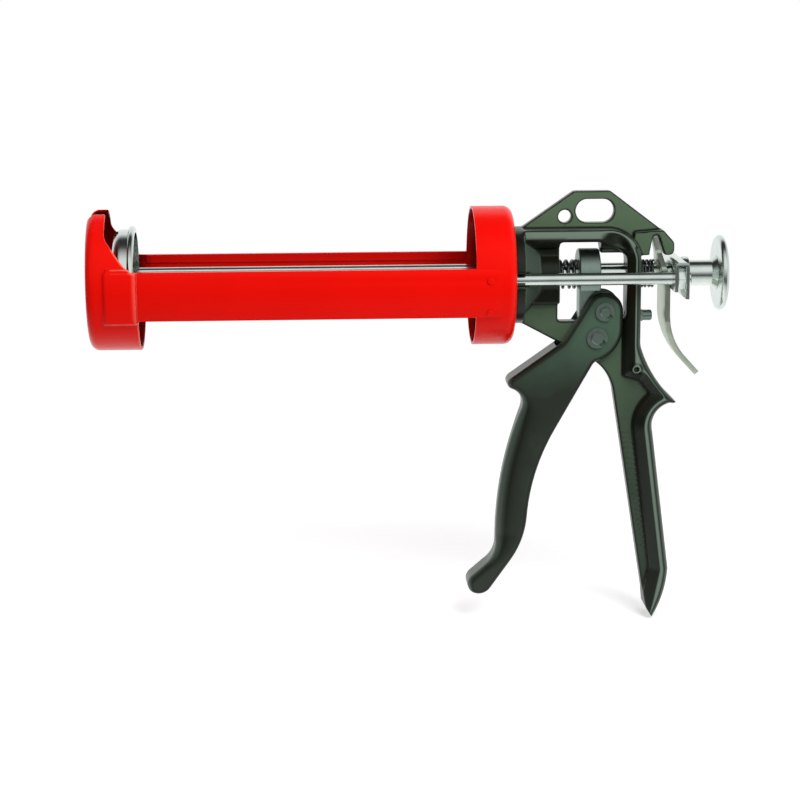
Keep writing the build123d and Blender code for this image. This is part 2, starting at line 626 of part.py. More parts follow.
for name, radius, place in (
    ("pivot_pin", PIVOT_PIN_RADIUS, (FLANGE_X + PIVOT_U, 0, PIVOT_Z)),
    ("thrust_pin", THRUST_PIN_RADIUS, (FLANGE_X + PIVOT_U + THRUST_U, 0, PIVOT_Z + THRUST_Z)),
):
    axis = Axis(place, (0, 1, 0))
    with BuildPart() as pin:
        revolve(Location(place) * pin_section(radius), axis=axis)
    save(pin, name)

for name, radius, place in (
    ("pivot_clips", PIVOT_PIN_RADIUS, (PIVOT_U, PIVOT_Z)),
    ("thrust_clips", THRUST_PIN_RADIUS, (PIVOT_U + THRUST_U, PIVOT_Z + THRUST_Z)),
):
    with BuildPart() as clips:
        for face_y in (CLIP_INNER, -CLIP_INNER - CLIP_THICKNESS):
            with BuildSketch(SIDE.offset(face_y)):
                with Locations(place):
                    Circle(radius + CLIP_WALL)
                    Circle(radius - GROOVE_DEPTH + PRESS_GAP, mode=Mode.SUBTRACT)
                    with Locations((radius, -radius)):
                        Rectangle(radius, radius, rotation=45, mode=Mode.SUBTRACT)
            extrude(amount=CLIP_THICKNESS)
    save(clips, name)

ROLLER_WIDTH = 2 * FORK_GAP - 2 * WORKING_GAP
with BuildPart() as thrust_roller:
    with BuildSketch(PIVOT):
        with Locations((THRUST_U, THRUST_Z)):
            Circle(ROLLER_RADIUS)
            Circle(THRUST_PIN_RADIUS + RUNNING_GAP, mode=Mode.SUBTRACT)
    extrude(amount=ROLLER_WIDTH / 2, both=True)
    fillet(thrust_roller.edges().filter_by(GeomType.CIRCLE).sort_by(lambda e: e.radius)[-2:], radius=0.5)
save(thrust_roller, "thrust_roller")

# Grip block: bites the drive rod when the trigger drags it forward
GRIP_REAR = BACKSTOP - WORKING_GAP
GRIP_FRONT = GRIP_REAR - GRIP_LENGTH
GRIP_SHOULDER = PIVOT_Z + sqrt(THRUST_U**2 + THRUST_Z**2) + HEAD_RADIUS + 2 * WORKING_GAP
TONGUE_WIDTH = 2 * FORK_GAP - 4 * WORKING_GAP
TONGUE_REAR = PIVOT_U + THRUST_U - ROLLER_RADIUS - RUNNING_GAP
with BuildPart() as grip_block:
    with BuildSketch(across(FLANGE_X + GRIP_FRONT)):
        Circle(GRIP_RADIUS)
        with Locations((0, GRIP_SHOULDER)):
            Rectangle(3 * GRIP_RADIUS, 2 * GRIP_RADIUS, align=(Align.CENTER, Align.MAX), mode=Mode.SUBTRACT)
    extrude(amount=GRIP_LENGTH)
    fillet(grip_block.edges().filter_by(GeomType.CIRCLE), radius=1.0)
    with BuildSketch(across(FLANGE_X + GRIP_FRONT + 0.5)):
        with Locations((0, GRIP_TONGUE_BOTTOM)):
            Rectangle(TONGUE_WIDTH, -GRIP_TONGUE_BOTTOM, align=(Align.CENTER, Align.MIN))
    extrude(amount=TONGUE_REAR - GRIP_FRONT - 0.5)
    with BuildSketch(across(FLANGE_X + GRIP_FRONT)):
        Circle(DRIVE_ROD_RADIUS + RUNNING_GAP)
    extrude(amount=GRIP_LENGTH, mode=Mode.SUBTRACT)
save(grip_block, "grip_block")


def coil_points(start, end, radius, turns):
    """Points and unit directions along a coil about the gun's axis, one at every half turn."""
    rise = (end - start) / turns
    lean = rise / (2 * pi * radius)
    size = sqrt(1 + lean**2)
    places = []
    for half in range(2 * turns + 1):
        flip = 1 - 2 * (half % 2)
        point = Vector(start + rise * half / 2, radius * flip, 0)
        places.append((point, Vector(lean / size, 0, flip / size)))
    return places


def knot(first, second):
    """Where the two arcs that join two points of a coil meet, and their shared direction there."""
    (p0, t0), (p1, t1) = first, second
    span = p1 - p0
    a = 2 * (t0.dot(t1) - 1)
    b = -2 * span.dot(t0 + t1)
    c = span.dot(span)
    reach = (-b - sqrt(b * b - 4 * a * c)) / (2 * a)
    start, finish = p0 + t0 * reach, p1 - t1 * reach
    return (start + finish) * 0.5, (finish - start).normalized()


def coil_gap(path, wire, turns):
    """The least gap between neighbouring curls, from points measured along the path."""
    steps = 48 * turns
    points = [path.position_at(i / steps) for i in range(steps + 1)]
    apart = [(points[i] - points[j]).length for i in range(steps) for j in range(i + 24, steps + 1)]
    return min(apart) - wire


# Drive spring: returns the grip block and trigger, half hidden in the boss
DRIVE_SPRING_START = FLANGE_X + BOSS_LENGTH - SPRING_POCKET + SPRING_WIRE / 2 + PAINT_GAP
DRIVE_SPRING_END = FLANGE_X + GRIP_FRONT - SPRING_WIRE / 2 - PAINT_GAP
drive_coil = coil_points(DRIVE_SPRING_START, DRIVE_SPRING_END, SPRING_RADIUS, SPRING_TURNS)
with BuildPart() as drive_spring:
    with BuildLine() as drive_path:
        for first, second in zip(drive_coil, drive_coil[1:]):
            middle, heading = knot(first, second)
            TangentArc(first[0], middle, tangent=first[1])
            TangentArc(middle, second[0], tangent=heading)
    with BuildSketch(Plane(origin=drive_coil[0][0], z_dir=drive_coil[0][1])):
        Circle(SPRING_WIRE / 2)
    sweep()
print("drive spring gap", round(coil_gap(drive_path.wire(), SPRING_WIRE, SPRING_TURNS), 2))
save(drive_spring, "drive_spring")

# Release lever: bent plate hung in the frame's hook, tilted on the rod to lock it
LEVER_FRONT = FLANGE_X + FRAME_REAR
with BuildPart() as release_lever:
    with BuildSketch(SIDE):
        with BuildLine() as strip:
            lean = Line((LEVER_HINGE_U, LEVER_HINGE_Z), (LEVER_HINGE_U + LEVER_LEAN, -1.5))
            knee = JernArc(lean @ 1, lean % 1, radius=LEVER_KNEE, arc_size=-13)
            drop = Line(knee @ 1, knee @ 1 + (knee % 1) * LEVER_DROP)
            sweep_out = JernArc(drop @ 1, drop % 1, radius=LEVER_SWEEP, arc_size=42)
            Line(sweep_out @ 1, sweep_out @ 1 + (sweep_out % 1) * LEVER_TAIL)
        trace(line_width=LEVER_SHEET)
        with Locations((LEVER_HINGE_U, LEVER_HINGE_Z)):
            Circle(LEVER_SHEET / 2)
    extrude(amount=LEVER_WIDTH / 2, both=True)
    with BuildSketch(across(LEVER_FRONT)):
        with BuildLine():
            right = [(LEVER_TAB_WIDTH / 2, 20.0), (LEVER_TAB_WIDTH / 2, 11.0), (LEVER_WIDTH / 2, 4.0)]
            right += [(LEVER_WIDTH / 2, -22.0), (4.6, LEVER_BOTTOM)]
            Polyline(*right, *[(-y, z) for y, z in reversed(right)], close=True)
        make_face()
        fillet(vertices().group_by(Axis.Y)[1:-1], radius=3.0)
    extrude(amount=2 * LEVER_WIDTH, mode=Mode.INTERSECT)
    with BuildSketch(across(LEVER_FRONT)):
        SlotOverall(2 * DRIVE_ROD_RADIUS + 3.0, 2 * DRIVE_ROD_RADIUS + 2 * WORKING_GAP, rotation=90)
    extrude(amount=LEVER_WIDTH, mode=Mode.SUBTRACT)
    with BuildSketch(across(LEVER_FRONT)):
        with Locations((0, LEVER_TIP_HOLE_Z)):
            Circle(LEVER_TIP_HOLE)
    extrude(amount=2 * LEVER_WIDTH, mode=Mode.SUBTRACT)
save(release_lever, "release_lever")

# Release spring: holds the lever's lower end away from the frame
RELEASE_END = FLANGE_X + LEVER_HINGE_U - LEVER_SHEET / 2
release_coil = coil_points(
    FLANGE_X + FRAME_REAR + RELEASE_WIRE / 2 + PAINT_GAP,
    RELEASE_END + 1.0,
    RELEASE_RADIUS,
    RELEASE_TURNS,
)
with BuildPart() as release_spring:
    with BuildLine() as release_path:
        for first, second in zip(release_coil, release_coil[1:]):
            middle, heading = knot(first, second)
            TangentArc(first[0], middle, tangent=first[1])
            TangentArc(middle, second[0], tangent=heading)
    with BuildSketch(Plane(origin=release_coil[0][0], z_dir=release_coil[0][1])):
        Circle(RELEASE_WIRE / 2)
    sweep()
print("release spring gap", round(coil_gap(release_path.wire(), RELEASE_WIRE, RELEASE_TURNS), 2))
save(release_spring, "release_spring")

# Stop screw and its lock nut on the frame's rear wall
STOP_FACE = FLANGE_X + FRAME_REAR
STOP_TRAVEL = (LEVER_HINGE_Z - STOP_Z) * sin(radians(LEVER_PRESS))
STOP_TIP = FLANGE_X + LEVER_HINGE_U + LEVER_LEAN - LEVER_SHEET / 2 - STOP_TRAVEL - STOP_GAP
STOP_HEAD_X = STOP_FACE + STOP_NUT_HEIGHT + 2 * PAINT_GAP
with BuildPart() as stop_screw:
    with BuildSketch(across(STOP_HEAD_X)):
        with Locations((0, STOP_Z)):
            Circle(STOP_HEAD_RADIUS)
    extrude(amount=STOP_TIP - STOP_HEAD_X)
    fillet(stop_screw.edges().filter_by(GeomType.CIRCLE).group_by(Axis.X)[-1], radius=0.8)
    with BuildSketch(across(STOP_HEAD_X)):
        with Locations((0, STOP_Z)):
            Circle(STOP_SHANK_RADIUS)
    extrude(amount=-STOP_NUT_HEIGHT - REAR_WALL * 0.8)
save(stop_screw, "stop_screw")

with BuildPart() as stop_nut:
    with BuildSketch(across(STOP_FACE + PAINT_GAP)):
        with Locations((0, STOP_Z)):
            RegularPolygon(STOP_NUT_FLATS / 2, 6, major_radius=False)
            Circle(STOP_SHANK_RADIUS + PRESS_GAP, mode=Mode.SUBTRACT)
    extrude(amount=STOP_NUT_HEIGHT)
save(stop_nut, "stop_nut")

# Pusher: pressed cup that drives the cartridge's piston
PUSHER_MOUTH = PUSHER_FRONT + PUSHER_DEPTH
with BuildPart() as pusher:
    revolve(cup_section(PUSHER_MOUTH, PUSHER_FRONT, PUSHER_RADIUS, PUSHER_SHEET, CUP_CORNER), axis=Axis.X)
    with BuildSketch(across(PUSHER_MOUTH - 2 * PUSHER_LIP)):
        Circle(PUSHER_RADIUS + PUSHER_LIP)
        Circle(PUSHER_RADIUS - PUSHER_SHEET / 2, mode=Mode.SUBTRACT)
    extrude(amount=2 * PUSHER_LIP)
    lip_edges = pusher.edges().filter_by(GeomType.CIRCLE).sort_by(lambda e: e.radius)[-2:]
    fillet(lip_edges, radius=PUSHER_LIP * 0.9)
    with BuildSketch(across(PUSHER_FRONT)):
        Circle(DRIVE_ROD_RADIUS + PRESS_GAP)
        with Locations(*SIDE_PLACES):
            Circle(SIDE_ROD_RADIUS + PRESS_GAP)
    extrude(amount=PUSHER_DEPTH / 2, mode=Mode.SUBTRACT)
save(pusher, "pusher")

# Rods
BRIDGE_X = FLANGE_X + BRIDGE_FRONT
BRIDGE_REAR_X = BRIDGE_X + BRIDGE_LENGTH
COLLAR_X = BRIDGE_REAR_X + PAINT_GAP
STEM_X = COLLAR_X + COLLAR_LENGTH + PAINT_GAP
KNOB_X = STEM_X + STEM_LENGTH + PAINT_GAP
DRIVE_ROD_END = KNOB_X + KNOB_BORE - PAINT_GAP
with BuildPart() as drive_rod:
    with BuildSketch(across(PUSHER_FRONT)):
        Circle(DRIVE_ROD_RADIUS)
    extrude(amount=DRIVE_ROD_END - PUSHER_FRONT)
    chamfer(drive_rod.edges().filter_by(GeomType.CIRCLE), length=0.6)
save(drive_rod, "drive_rod")

SIDE_ROD_END = BRIDGE_REAR_X + 1.6
for name, side in (("left_side_rod", -1), ("right_side_rod", 1)):
    with BuildPart() as rod:
        with BuildSketch(across(PUSHER_FRONT)):
            with Locations((side * SIDE_ROD_PITCH, 0)):
                Circle(SIDE_ROD_RADIUS)
        extrude(amount=SIDE_ROD_END - PUSHER_FRONT)
        chamfer(rod.edges().filter_by(GeomType.CIRCLE), length=0.5)
    save(rod, name)

# Nut behind the pusher's plate; the side rods are peened over in their holes
with BuildPart() as pusher_nut:
    with BuildSketch(across(PUSHER_FRONT + PUSHER_SHEET + PAINT_GAP)):
        RegularPolygon(DRIVE_ROD_RADIUS + 2.5, 6, major_radius=False)
        Circle(DRIVE_ROD_RADIUS + PRESS_GAP, mode=Mode.SUBTRACT)
    extrude(amount=PUSHER_NUT_HEIGHT)
save(pusher_nut, "pusher_nut")

# Bridge: folded channel that ties the three rods at the back
with BuildPart() as rod_bridge:
    with BuildSketch(Plane.XZ):
        with BuildLine():
            Polyline(
                (BRIDGE_X, BRIDGE_FRONT_DROP),
                (BRIDGE_X, BRIDGE_TOP),
                (BRIDGE_REAR_X, BRIDGE_TOP),
                (BRIDGE_REAR_X, BRIDGE_REAR_DROP),
                (BRIDGE_REAR_X - BRIDGE_SHEET, BRIDGE_REAR_DROP),
                (BRIDGE_REAR_X - BRIDGE_SHEET, BRIDGE_TOP - BRIDGE_SHEET),
                (BRIDGE_X + BRIDGE_SHEET, BRIDGE_TOP - BRIDGE_SHEET),
                (BRIDGE_X + BRIDGE_SHEET, BRIDGE_FRONT_DROP),
                close=True,
            )
        make_face()
    extrude(amount=BRIDGE_WIDTH / 2, both=True)
    long_edges = rod_bridge.edges().filter_by(Axis.Y).group_by(Axis.Z)
    fillet(long_edges[-1], radius=BRIDGE_SHEET * 1.5)
    with BuildSketch(across(BRIDGE_X)):
        Circle(DRIVE_ROD_RADIUS + PRESS_GAP)
        with Locations(*SIDE_PLACES):
            Circle(SIDE_ROD_RADIUS + PRESS_GAP)
    extrude(amount=BRIDGE_LENGTH, mode=Mode.SUBTRACT)
save(rod_bridge, "rod_bridge")

BRIDGE_NUT_X = BRIDGE_REAR_X - BRIDGE_SHEET - SIDE_NUT_HEIGHT - PAINT_GAP
with BuildPart() as bridge_nuts:
    with BuildSketch(across(BRIDGE_NUT_X)):
        with Locations(*SIDE_PLACES):
            RegularPolygon(SIDE_NUT_FLATS / 2, 6, major_radius=False)
            Circle(SIDE_ROD_RADIUS + PRESS_GAP, mode=Mode.SUBTRACT)
    extrude(amount=SIDE_NUT_HEIGHT)
save(bridge_nuts, "bridge_nuts")

# Collar, stem and knob on the drive rod's tail
with BuildPart() as collar_nut:
    with BuildSketch(across(COLLAR_X)):
        Circle(COLLAR_RADIUS)
        Circle(DRIVE_ROD_RADIUS + PRESS_GAP, mode=Mode.SUBTRACT)
    extrude(amount=COLLAR_LENGTH)
save(collar_nut, "collar_nut")

with BuildPart() as knob_stem:
    with BuildSketch(across(STEM_X)):
        Circle(STEM_RADIUS)
    extrude(amount=STEM_LENGTH)
    with BuildSketch(across(STEM_X + STEM_LENGTH - STEM_FLARE)):
        Circle(STEM_RADIUS)
    extrude(amount=STEM_FLARE, taper=-40)
    with BuildSketch(across(STEM_X)):
        Circle(DRIVE_ROD_RADIUS + PRESS_GAP)
    extrude(amount=STEM_LENGTH, mode=Mode.SUBTRACT)
save(knob_stem, "knob_stem")

with BuildPart() as pull_knob:
    with BuildSketch(Plane.XZ):
        with BuildLine():
            face = Line((KNOB_X, 0), (KNOB_X, KNOB_RADIUS - KNOB_RIM / 2))
            rim = ThreePointArc(face @ 1, (KNOB_X + KNOB_RIM / 2, KNOB_RADIUS), face @ 1 + (KNOB_RIM, 0))
            dome = ThreePointArc(
                rim @ 1,
                (KNOB_X + (KNOB_RIM + 3 * KNOB_THICKNESS) / 4, KNOB_RADIUS / 2),
                (KNOB_X + KNOB_THICKNESS, KNOB_FLAT),
            )
            Polyline(dome @ 1, (KNOB_X + KNOB_THICKNESS, 0), face @ 0)
        make_face()
    revolve(axis=Axis.X)
    with BuildSketch(across(KNOB_X)):
        Circle(DRIVE_ROD_RADIUS + PRESS_GAP)
    extrude(amount=KNOB_BORE, mode=Mode.SUBTRACT)
save(pull_knob, "pull_knob")
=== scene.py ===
from math import cos, hypot, pi, radians, sin

import bpy
import numpy as np
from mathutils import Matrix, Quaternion, Vector


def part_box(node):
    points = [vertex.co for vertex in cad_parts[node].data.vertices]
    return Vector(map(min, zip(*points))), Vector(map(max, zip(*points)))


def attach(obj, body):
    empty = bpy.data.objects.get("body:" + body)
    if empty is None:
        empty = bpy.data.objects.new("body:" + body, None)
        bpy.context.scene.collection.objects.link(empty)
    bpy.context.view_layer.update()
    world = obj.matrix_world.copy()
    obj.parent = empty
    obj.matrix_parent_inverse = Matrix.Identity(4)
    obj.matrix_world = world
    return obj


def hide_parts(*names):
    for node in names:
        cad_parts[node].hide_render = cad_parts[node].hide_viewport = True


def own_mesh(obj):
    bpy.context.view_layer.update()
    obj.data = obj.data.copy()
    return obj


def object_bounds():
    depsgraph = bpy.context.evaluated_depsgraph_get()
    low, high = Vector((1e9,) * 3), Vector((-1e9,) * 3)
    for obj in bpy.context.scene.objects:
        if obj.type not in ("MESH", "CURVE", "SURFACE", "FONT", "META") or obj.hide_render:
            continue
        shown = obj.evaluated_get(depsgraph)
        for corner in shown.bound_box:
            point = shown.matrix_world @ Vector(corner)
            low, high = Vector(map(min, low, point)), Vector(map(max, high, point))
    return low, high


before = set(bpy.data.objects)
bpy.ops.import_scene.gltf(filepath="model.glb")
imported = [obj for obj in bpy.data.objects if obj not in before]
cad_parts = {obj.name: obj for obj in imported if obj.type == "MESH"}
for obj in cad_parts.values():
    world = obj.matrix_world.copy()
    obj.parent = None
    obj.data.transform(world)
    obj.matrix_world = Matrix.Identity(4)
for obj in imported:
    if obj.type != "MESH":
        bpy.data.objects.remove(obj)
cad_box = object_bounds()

# Camera: a long lens a little above the gun and nearly square to its left side,
# so the cradle, the two handles and the pull knob all lie across the picture.
AIM = Vector((0.1472, 0.0, -0.0610))
DISTANCE = 1.097
AZIMUTH = radians(-2.77)
RISE = radians(11.14)
ROLL = radians(-0.25)
back = Vector((sin(AZIMUTH) * cos(RISE), -cos(AZIMUTH) * cos(RISE), sin(RISE)))
camera = bpy.data.objects.new("camera", bpy.data.cameras.new("camera"))
bpy.context.scene.collection.objects.link(camera)
camera.data.lens = 101.2
camera.data.sensor_width = 36.0
camera.data.clip_end = 20.0
camera.location = AIM + back * DISTANCE
camera.rotation_mode = "QUATERNION"
camera.rotation_quaternion = (-back).to_track_quat("-Z", "Y") @ Quaternion((0, 0, 1), ROLL)
bpy.context.scene.camera = camera
bpy.context.scene.view_settings.view_transform = "Standard"


# Floor and studio: a white sheet under the gun and a white wall behind it, with a soft lamp in front
# and another above. The room is dim overhead, low down and at the nose's end, so gloss and bare metal
# show dark next to light.
LOWEST = cad_box[0][2]
FLOOR_GAP = 0.0005
FLOOR_MIDDLE = (0.15, 1.62, LOWEST - FLOOR_GAP)
SHEET_MIDDLE = (0.16, 0.12, LOWEST)
SHEET_WHOLE = 0.18
SHEET_GONE = 0.55
LAMP_TARGET = Vector((0.15, 0.0, -0.05))


def linear(hex_colour):
    """The linear colour of an sRGB hex value."""
    parts = [int(hex_colour[i : i + 2], 16) / 255 for i in (1, 3, 5)]
    return [c / 12.92 if c <= 0.04045 else ((c + 0.055) / 1.055) ** 2.4 for c in parts] + [1.0]


def add_node(tree, kind, settings, links):
    """Adds a node: settings go to its options or its sockets, links join its sockets to other outputs.

    Sockets 1 to 4 of a Map Range are from min, from max, to min and to max.
    Sockets 6 and 7 of a Mix are its two colours, and its output 2 is the mixed colour.
    The Scale of a Noise is 1000 over the size of its patches in mm.
    """
    node = tree.nodes.new(kind)
    for name, value in settings.items():
        if isinstance(name, str) and hasattr(node, name):
            setattr(node, name, value)
        else:
            node.inputs[name].default_value = value
    for name, (source, output) in links.items():
        tree.links.new(source.outputs[output], node.inputs[name])
    return node


def new_material(name):
    """A material with an empty node tree."""
    material = bpy.data.materials.new(name)
    material.use_nodes = True
    material.node_tree.nodes.clear()
    return material, material.node_tree


bpy.ops.object.select_all(action="DESELECT")
bpy.ops.mesh.primitive_plane_add(size=4.0, location=FLOOR_MIDDLE)
floor = bpy.context.object
floor.name = "floor"
bpy.ops.object.transform_apply(location=True)

# White paper: matt and even, bright to the eye and in reflections, and faded out before its edge
# so that sheet and wall meet without a line.
floor_paper, tree = new_material("white_paper")
paper = add_node(tree, "ShaderNodeBsdfDiffuse", {"Color": linear("#EDEDED")}, {})
glow = add_node(tree, "ShaderNodeEmission", {"Color": linear("#FFFFFF"), "Strength": 0.4}, {})
lit = add_node(tree, "ShaderNodeAddShader", {}, {0: (paper, 0), 1: (glow, 0)})
rays = add_node(tree, "ShaderNodeLightPath", {}, {})
mirrored = add_node(
    tree,
    "ShaderNodeMath",
    {"operation": "MAXIMUM"},
    {0: (rays, "Is Glossy Ray"), 1: (rays, "Is Transmission Ray")},
)
seen = add_node(
    tree,
    "ShaderNodeMath",
    {"operation": "MAXIMUM"},
    {0: (rays, "Is Camera Ray"), 1: (mirrored, 0)},
)
sheet = add_node(tree, "ShaderNodeMixShader", {}, {0: (seen, 0), 1: (paper, 0), 2: (lit, 0)})
where = add_node(tree, "ShaderNodeTexCoord", {}, {})
under = add_node(
    tree,
    "ShaderNodeVectorMath",
    {"operation": "SUBTRACT", 1: SHEET_MIDDLE},
    {0: (where, "Object")},
)
apart = add_node(tree, "ShaderNodeVectorMath", {"operation": "LENGTH"}, {0: (under, 0)})
fade = add_node(tree, "ShaderNodeMapRange", {1: SHEET_WHOLE, 2: SHEET_GONE}, {0: (apart, "Value")})
clear = add_node(tree, "ShaderNodeBsdfTransparent", {}, {})
spread = add_node(tree, "ShaderNodeMixShader", {}, {0: (fade, 0), 1: (sheet, 0), 2: (clear, 0)})
add_node(tree, "ShaderNodeOutputMaterial", {}, {"Surface": (spread, 0)})
floor.data.materials.append(floor_paper)

# The room, by direction: a panel in front that brightens upwards, a white card at the knob's end,
# soft light from below for dull surfaces alone, and the wall, which the camera sees on every side.
world = bpy.data.worlds.new("white_studio")
bpy.context.scene.world = world
world.use_nodes = True
tree = world.node_tree
tree.nodes.clear()
direction = add_node(tree, "ShaderNodeTexCoord", {}, {})
axes = add_node(tree, "ShaderNodeSeparateXYZ", {}, {0: (direction, "Generated")})
rays = add_node(tree, "ShaderNodeLightPath", {}, {})
ahead = add_node(tree, "ShaderNodeMapRange", {1: -0.6, 2: -0.05, 3: 1.0, 4: 0.0}, {0: (axes, "Y")})
lift = add_node(tree, "ShaderNodeMapRange", {1: -0.2, 2: 0.4, 3: 0.1, 4: 1.0}, {0: (axes, "Z")})
front = add_node(tree, "ShaderNodeMath", {"operation": "MULTIPLY"}, {0: (ahead, 0), 1: (lift, 0)})
card = add_node(tree, "ShaderNodeMapRange", {1: 0.4, 2: 0.85, 3: 0.03, 4: 0.9}, {0: (axes, "X")})
sides = add_node(tree, "ShaderNodeMath", {"operation": "MAXIMUM"}, {0: (front, 0), 1: (card, 0)})
bounce = add_node(tree, "ShaderNodeMapRange", {1: -0.9, 2: 0.1, 3: 0.75, 4: 0.23}, {0: (axes, "Z")})
soft = add_node(
    tree,
    "ShaderNodeMath",
    {"operation": "MULTIPLY"},
    {0: (rays, "Is Diffuse Ray"), 1: (bounce, 0)},
)
room = add_node(tree, "ShaderNodeMath", {"operation": "MAXIMUM"}, {0: (sides, 0), 1: (soft, 0)})
behind = add_node(tree, "ShaderNodeMapRange", {1: 0.42, 2: 0.7}, {0: (axes, "Y")})
wall = add_node(
    tree,
    "ShaderNodeMath",
    {"operation": "MAXIMUM"},
    {0: (behind, 0), 1: (rays, "Is Camera Ray")},
)
level = add_node(tree, "ShaderNodeMath", {"operation": "MAXIMUM"}, {0: (room, 0), 1: (wall, 0)})
light = add_node(tree, "ShaderNodeBackground", {"Color": linear("#FFFFFF")}, {"Strength": (level, 0)})
add_node(tree, "ShaderNodeOutputWorld", {}, {"Surface": (light, 0)})

for name, place, size, power in (
    ("key_lamp", (0.45, -0.6, 0.55), 0.4, 4.4),
    ("top_lamp", (-0.2, 0.1, 0.9), 0.35, 1.2),
):
    lamp = bpy.data.objects.new(name, bpy.data.lights.new(name, "AREA"))
    bpy.context.scene.collection.objects.link(lamp)
    lamp.data.shape = "SQUARE"
    lamp.data.size = size
    lamp.data.energy = power
    lamp.visible_glossy = False
    lamp.location = place
    lamp.rotation_euler = (LAMP_TARGET - Vector(place)).to_track_quat("-Z", "Y").to_euler()


# Nose cup: pressed steel, dipped and stoved in glossy red enamel, with pockets that take the rails.
# The press leaves soft corners, and the enamel rounds every edge a little more.
LIP_X = 0.0144
LIP_Y = 0.0333
LIP_Z = 0.00835
LIP_SIZE = (0.0118, 0.0026, 0.00158)
LIP_CUT = 0.0016
SHELL_RADIUS = 0.0330
POCKET_RADIUS = 0.0353
POCKET_END = 0.0215
POCKET_START = (0.0062, 0.0096)
POCKET_FOOT = (-0.0195, -0.0155)
POCKET_TOP = 0.009
POCKET_SIDE = 0.02
MOUTH_START = 0.0208
MOUTH_HEIGHT = (-0.0170, 0.0074)
MOUTH_CURVE = 200


def solid_copy(node, name):
    """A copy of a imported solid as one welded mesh, selected and active."""
    bpy.ops.object.select_all(action="DESELECT")
    piece = bpy.data.objects.new(name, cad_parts[node].data.copy())
    bpy.context.scene.collection.objects.link(piece)
    bpy.context.view_layer.objects.active = piece
    piece.select_set(True)
    piece.data.materials.clear()
    bpy.ops.object.mode_set(mode="EDIT")
    bpy.ops.mesh.select_all(action="SELECT")
    bpy.ops.mesh.remove_doubles(threshold=0.00001)
    bpy.ops.object.mode_set(mode="OBJECT")
    return piece


def rub_down(piece, passes, group=""):
    """Evens out the active piece, or one group of its points."""
    rub = piece.modifiers.new("rub", "SMOOTH")
    rub.factor = 0.5
    rub.iterations = passes
    rub.vertex_group = group
    bpy.ops.object.modifier_apply(modifier="rub")


def ease_edges(piece, grain, passes):
    """Skins the active piece afresh at a fine grain and rubs its hard edges down."""
    skin = piece.modifiers.new("skin", "REMESH")
    skin.mode = "VOXEL"
    skin.voxel_size = grain
    bpy.ops.object.modifier_apply(modifier="skin")
    rub_down(piece, passes)


def thin_out(piece, share):
    """Keeps a share of the active piece's triangles, and shades it smooth."""
    thin = piece.modifiers.new("thin", "DECIMATE")
    thin.ratio = share
    bpy.ops.object.modifier_apply(modifier="thin")
    bpy.ops.object.shade_smooth()


def put_on(piece, material, body, slot, *nodes):
    """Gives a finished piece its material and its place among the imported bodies."""
    piece.data.materials.append(material)
    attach(piece, body)
    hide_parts(*nodes)


# Stoved enamel: flows smooth, with a faint orange peel. Painted shade makes inward faces a deeper red,
# darkest inside the cups, and a painted highlight puts a pale line over the rims of the nose cup.
CRADLE_MIDDLE = 0.104
RAIL_REACH = 0.077
CUP_REACH = 0.083
RIMS_START = (0.0105, 0.0118)
RIMS_END = (0.0230, 0.0233)
red_enamel, tree = new_material("stoved_red_enamel")
where = add_node(tree, "ShaderNodeTexCoord", {}, {})
drift = add_node(
    tree,
    "ShaderNodeTexNoise",
    {"Scale": 1000 / 30, "Detail": 3.0},
    {"Vector": (where, "Object")},
)
outside = add_node(
    tree,
    "ShaderNodeMix",
    {"data_type": "RGBA", 6: linear("#E20B05"), 7: linear("#EC0E07")},
    {0: (drift, "Fac")},
)
shape = add_node(tree, "ShaderNodeNewGeometry", {}, {})
from_axis = add_node(
    tree,
    "ShaderNodeVectorMath",
    {"operation": "MULTIPLY", 1: (0, 1, 1)},
    {0: (where, "Object")},
)
outward = add_node(tree, "ShaderNodeVectorMath", {"operation": "NORMALIZE"}, {0: (from_axis, 0)})
facing = add_node(
    tree,
    "ShaderNodeVectorMath",
    {"operation": "DOT_PRODUCT"},
    {0: (outward, 0), 1: (shape, "Normal")},
)
# Painted shade: inward faces get a darker red, and inside the cups a near black red, standing in for the
# shade there.
inside = add_node(tree, "ShaderNodeMapRange", {1: -0.5, 2: -0.1, 3: 1.0, 4: 0.0}, {0: (facing, "Value")})
place = add_node(tree, "ShaderNodeSeparateXYZ", {}, {0: (where, "Object")})
along = add_node(tree, "ShaderNodeMath", {"operation": "SUBTRACT", 1: CRADLE_MIDDLE}, {0: (place, "X")})
off_middle = add_node(tree, "ShaderNodeMath", {"operation": "ABSOLUTE"}, {0: (along, 0)})
cup_painted_shade = add_node(tree, "ShaderNodeMapRange", {1: RAIL_REACH, 2: CUP_REACH}, {0: (off_middle, 0)})
inner_painted_shade = add_node(
    tree,
    "ShaderNodeMix",
    {"data_type": "RGBA", 6: linear("#C80D08"), 7: linear("#5C0805")},
    {0: (cup_painted_shade, 0)},
)
coat_or_shade = add_node(
    tree,
    "ShaderNodeMix",
    {"data_type": "RGBA"},
    {0: (inside, 0), 6: (outside, 2), 7: (inner_painted_shade, 2)},
)
# Painted highlight: a pale pink line on the nose cup's outer rims, where Pointiness is high.
rim = add_node(
    tree,
    "ShaderNodeMapRange",
    {1: 0.505, 2: 0.535, 3: 0.0, 4: 0.55},
    {0: (shape, "Pointiness")},
)
before = add_node(
    tree,
    "ShaderNodeMapRange",
    {1: RIMS_END[0], 2: RIMS_END[1], 3: 1.0, 4: 0.0},
    {0: (place, "X")},
)
after = add_node(tree, "ShaderNodeMapRange", {1: RIMS_START[0], 2: RIMS_START[1]}, {0: (place, "X")})
in_nose = add_node(tree, "ShaderNodeMath", {"operation": "MULTIPLY"}, {0: (before, 0), 1: (after, 0)})
on_nose = add_node(
    tree,
    "ShaderNodeMath",
    {"operation": "SUBTRACT", "use_clamp": True},
    {0: (in_nose, 0), 1: (inside, 0)},
)
rim_highlight = add_node(tree, "ShaderNodeMath", {"operation": "MULTIPLY"}, {0: (rim, 0), 1: (on_nose, 0)})
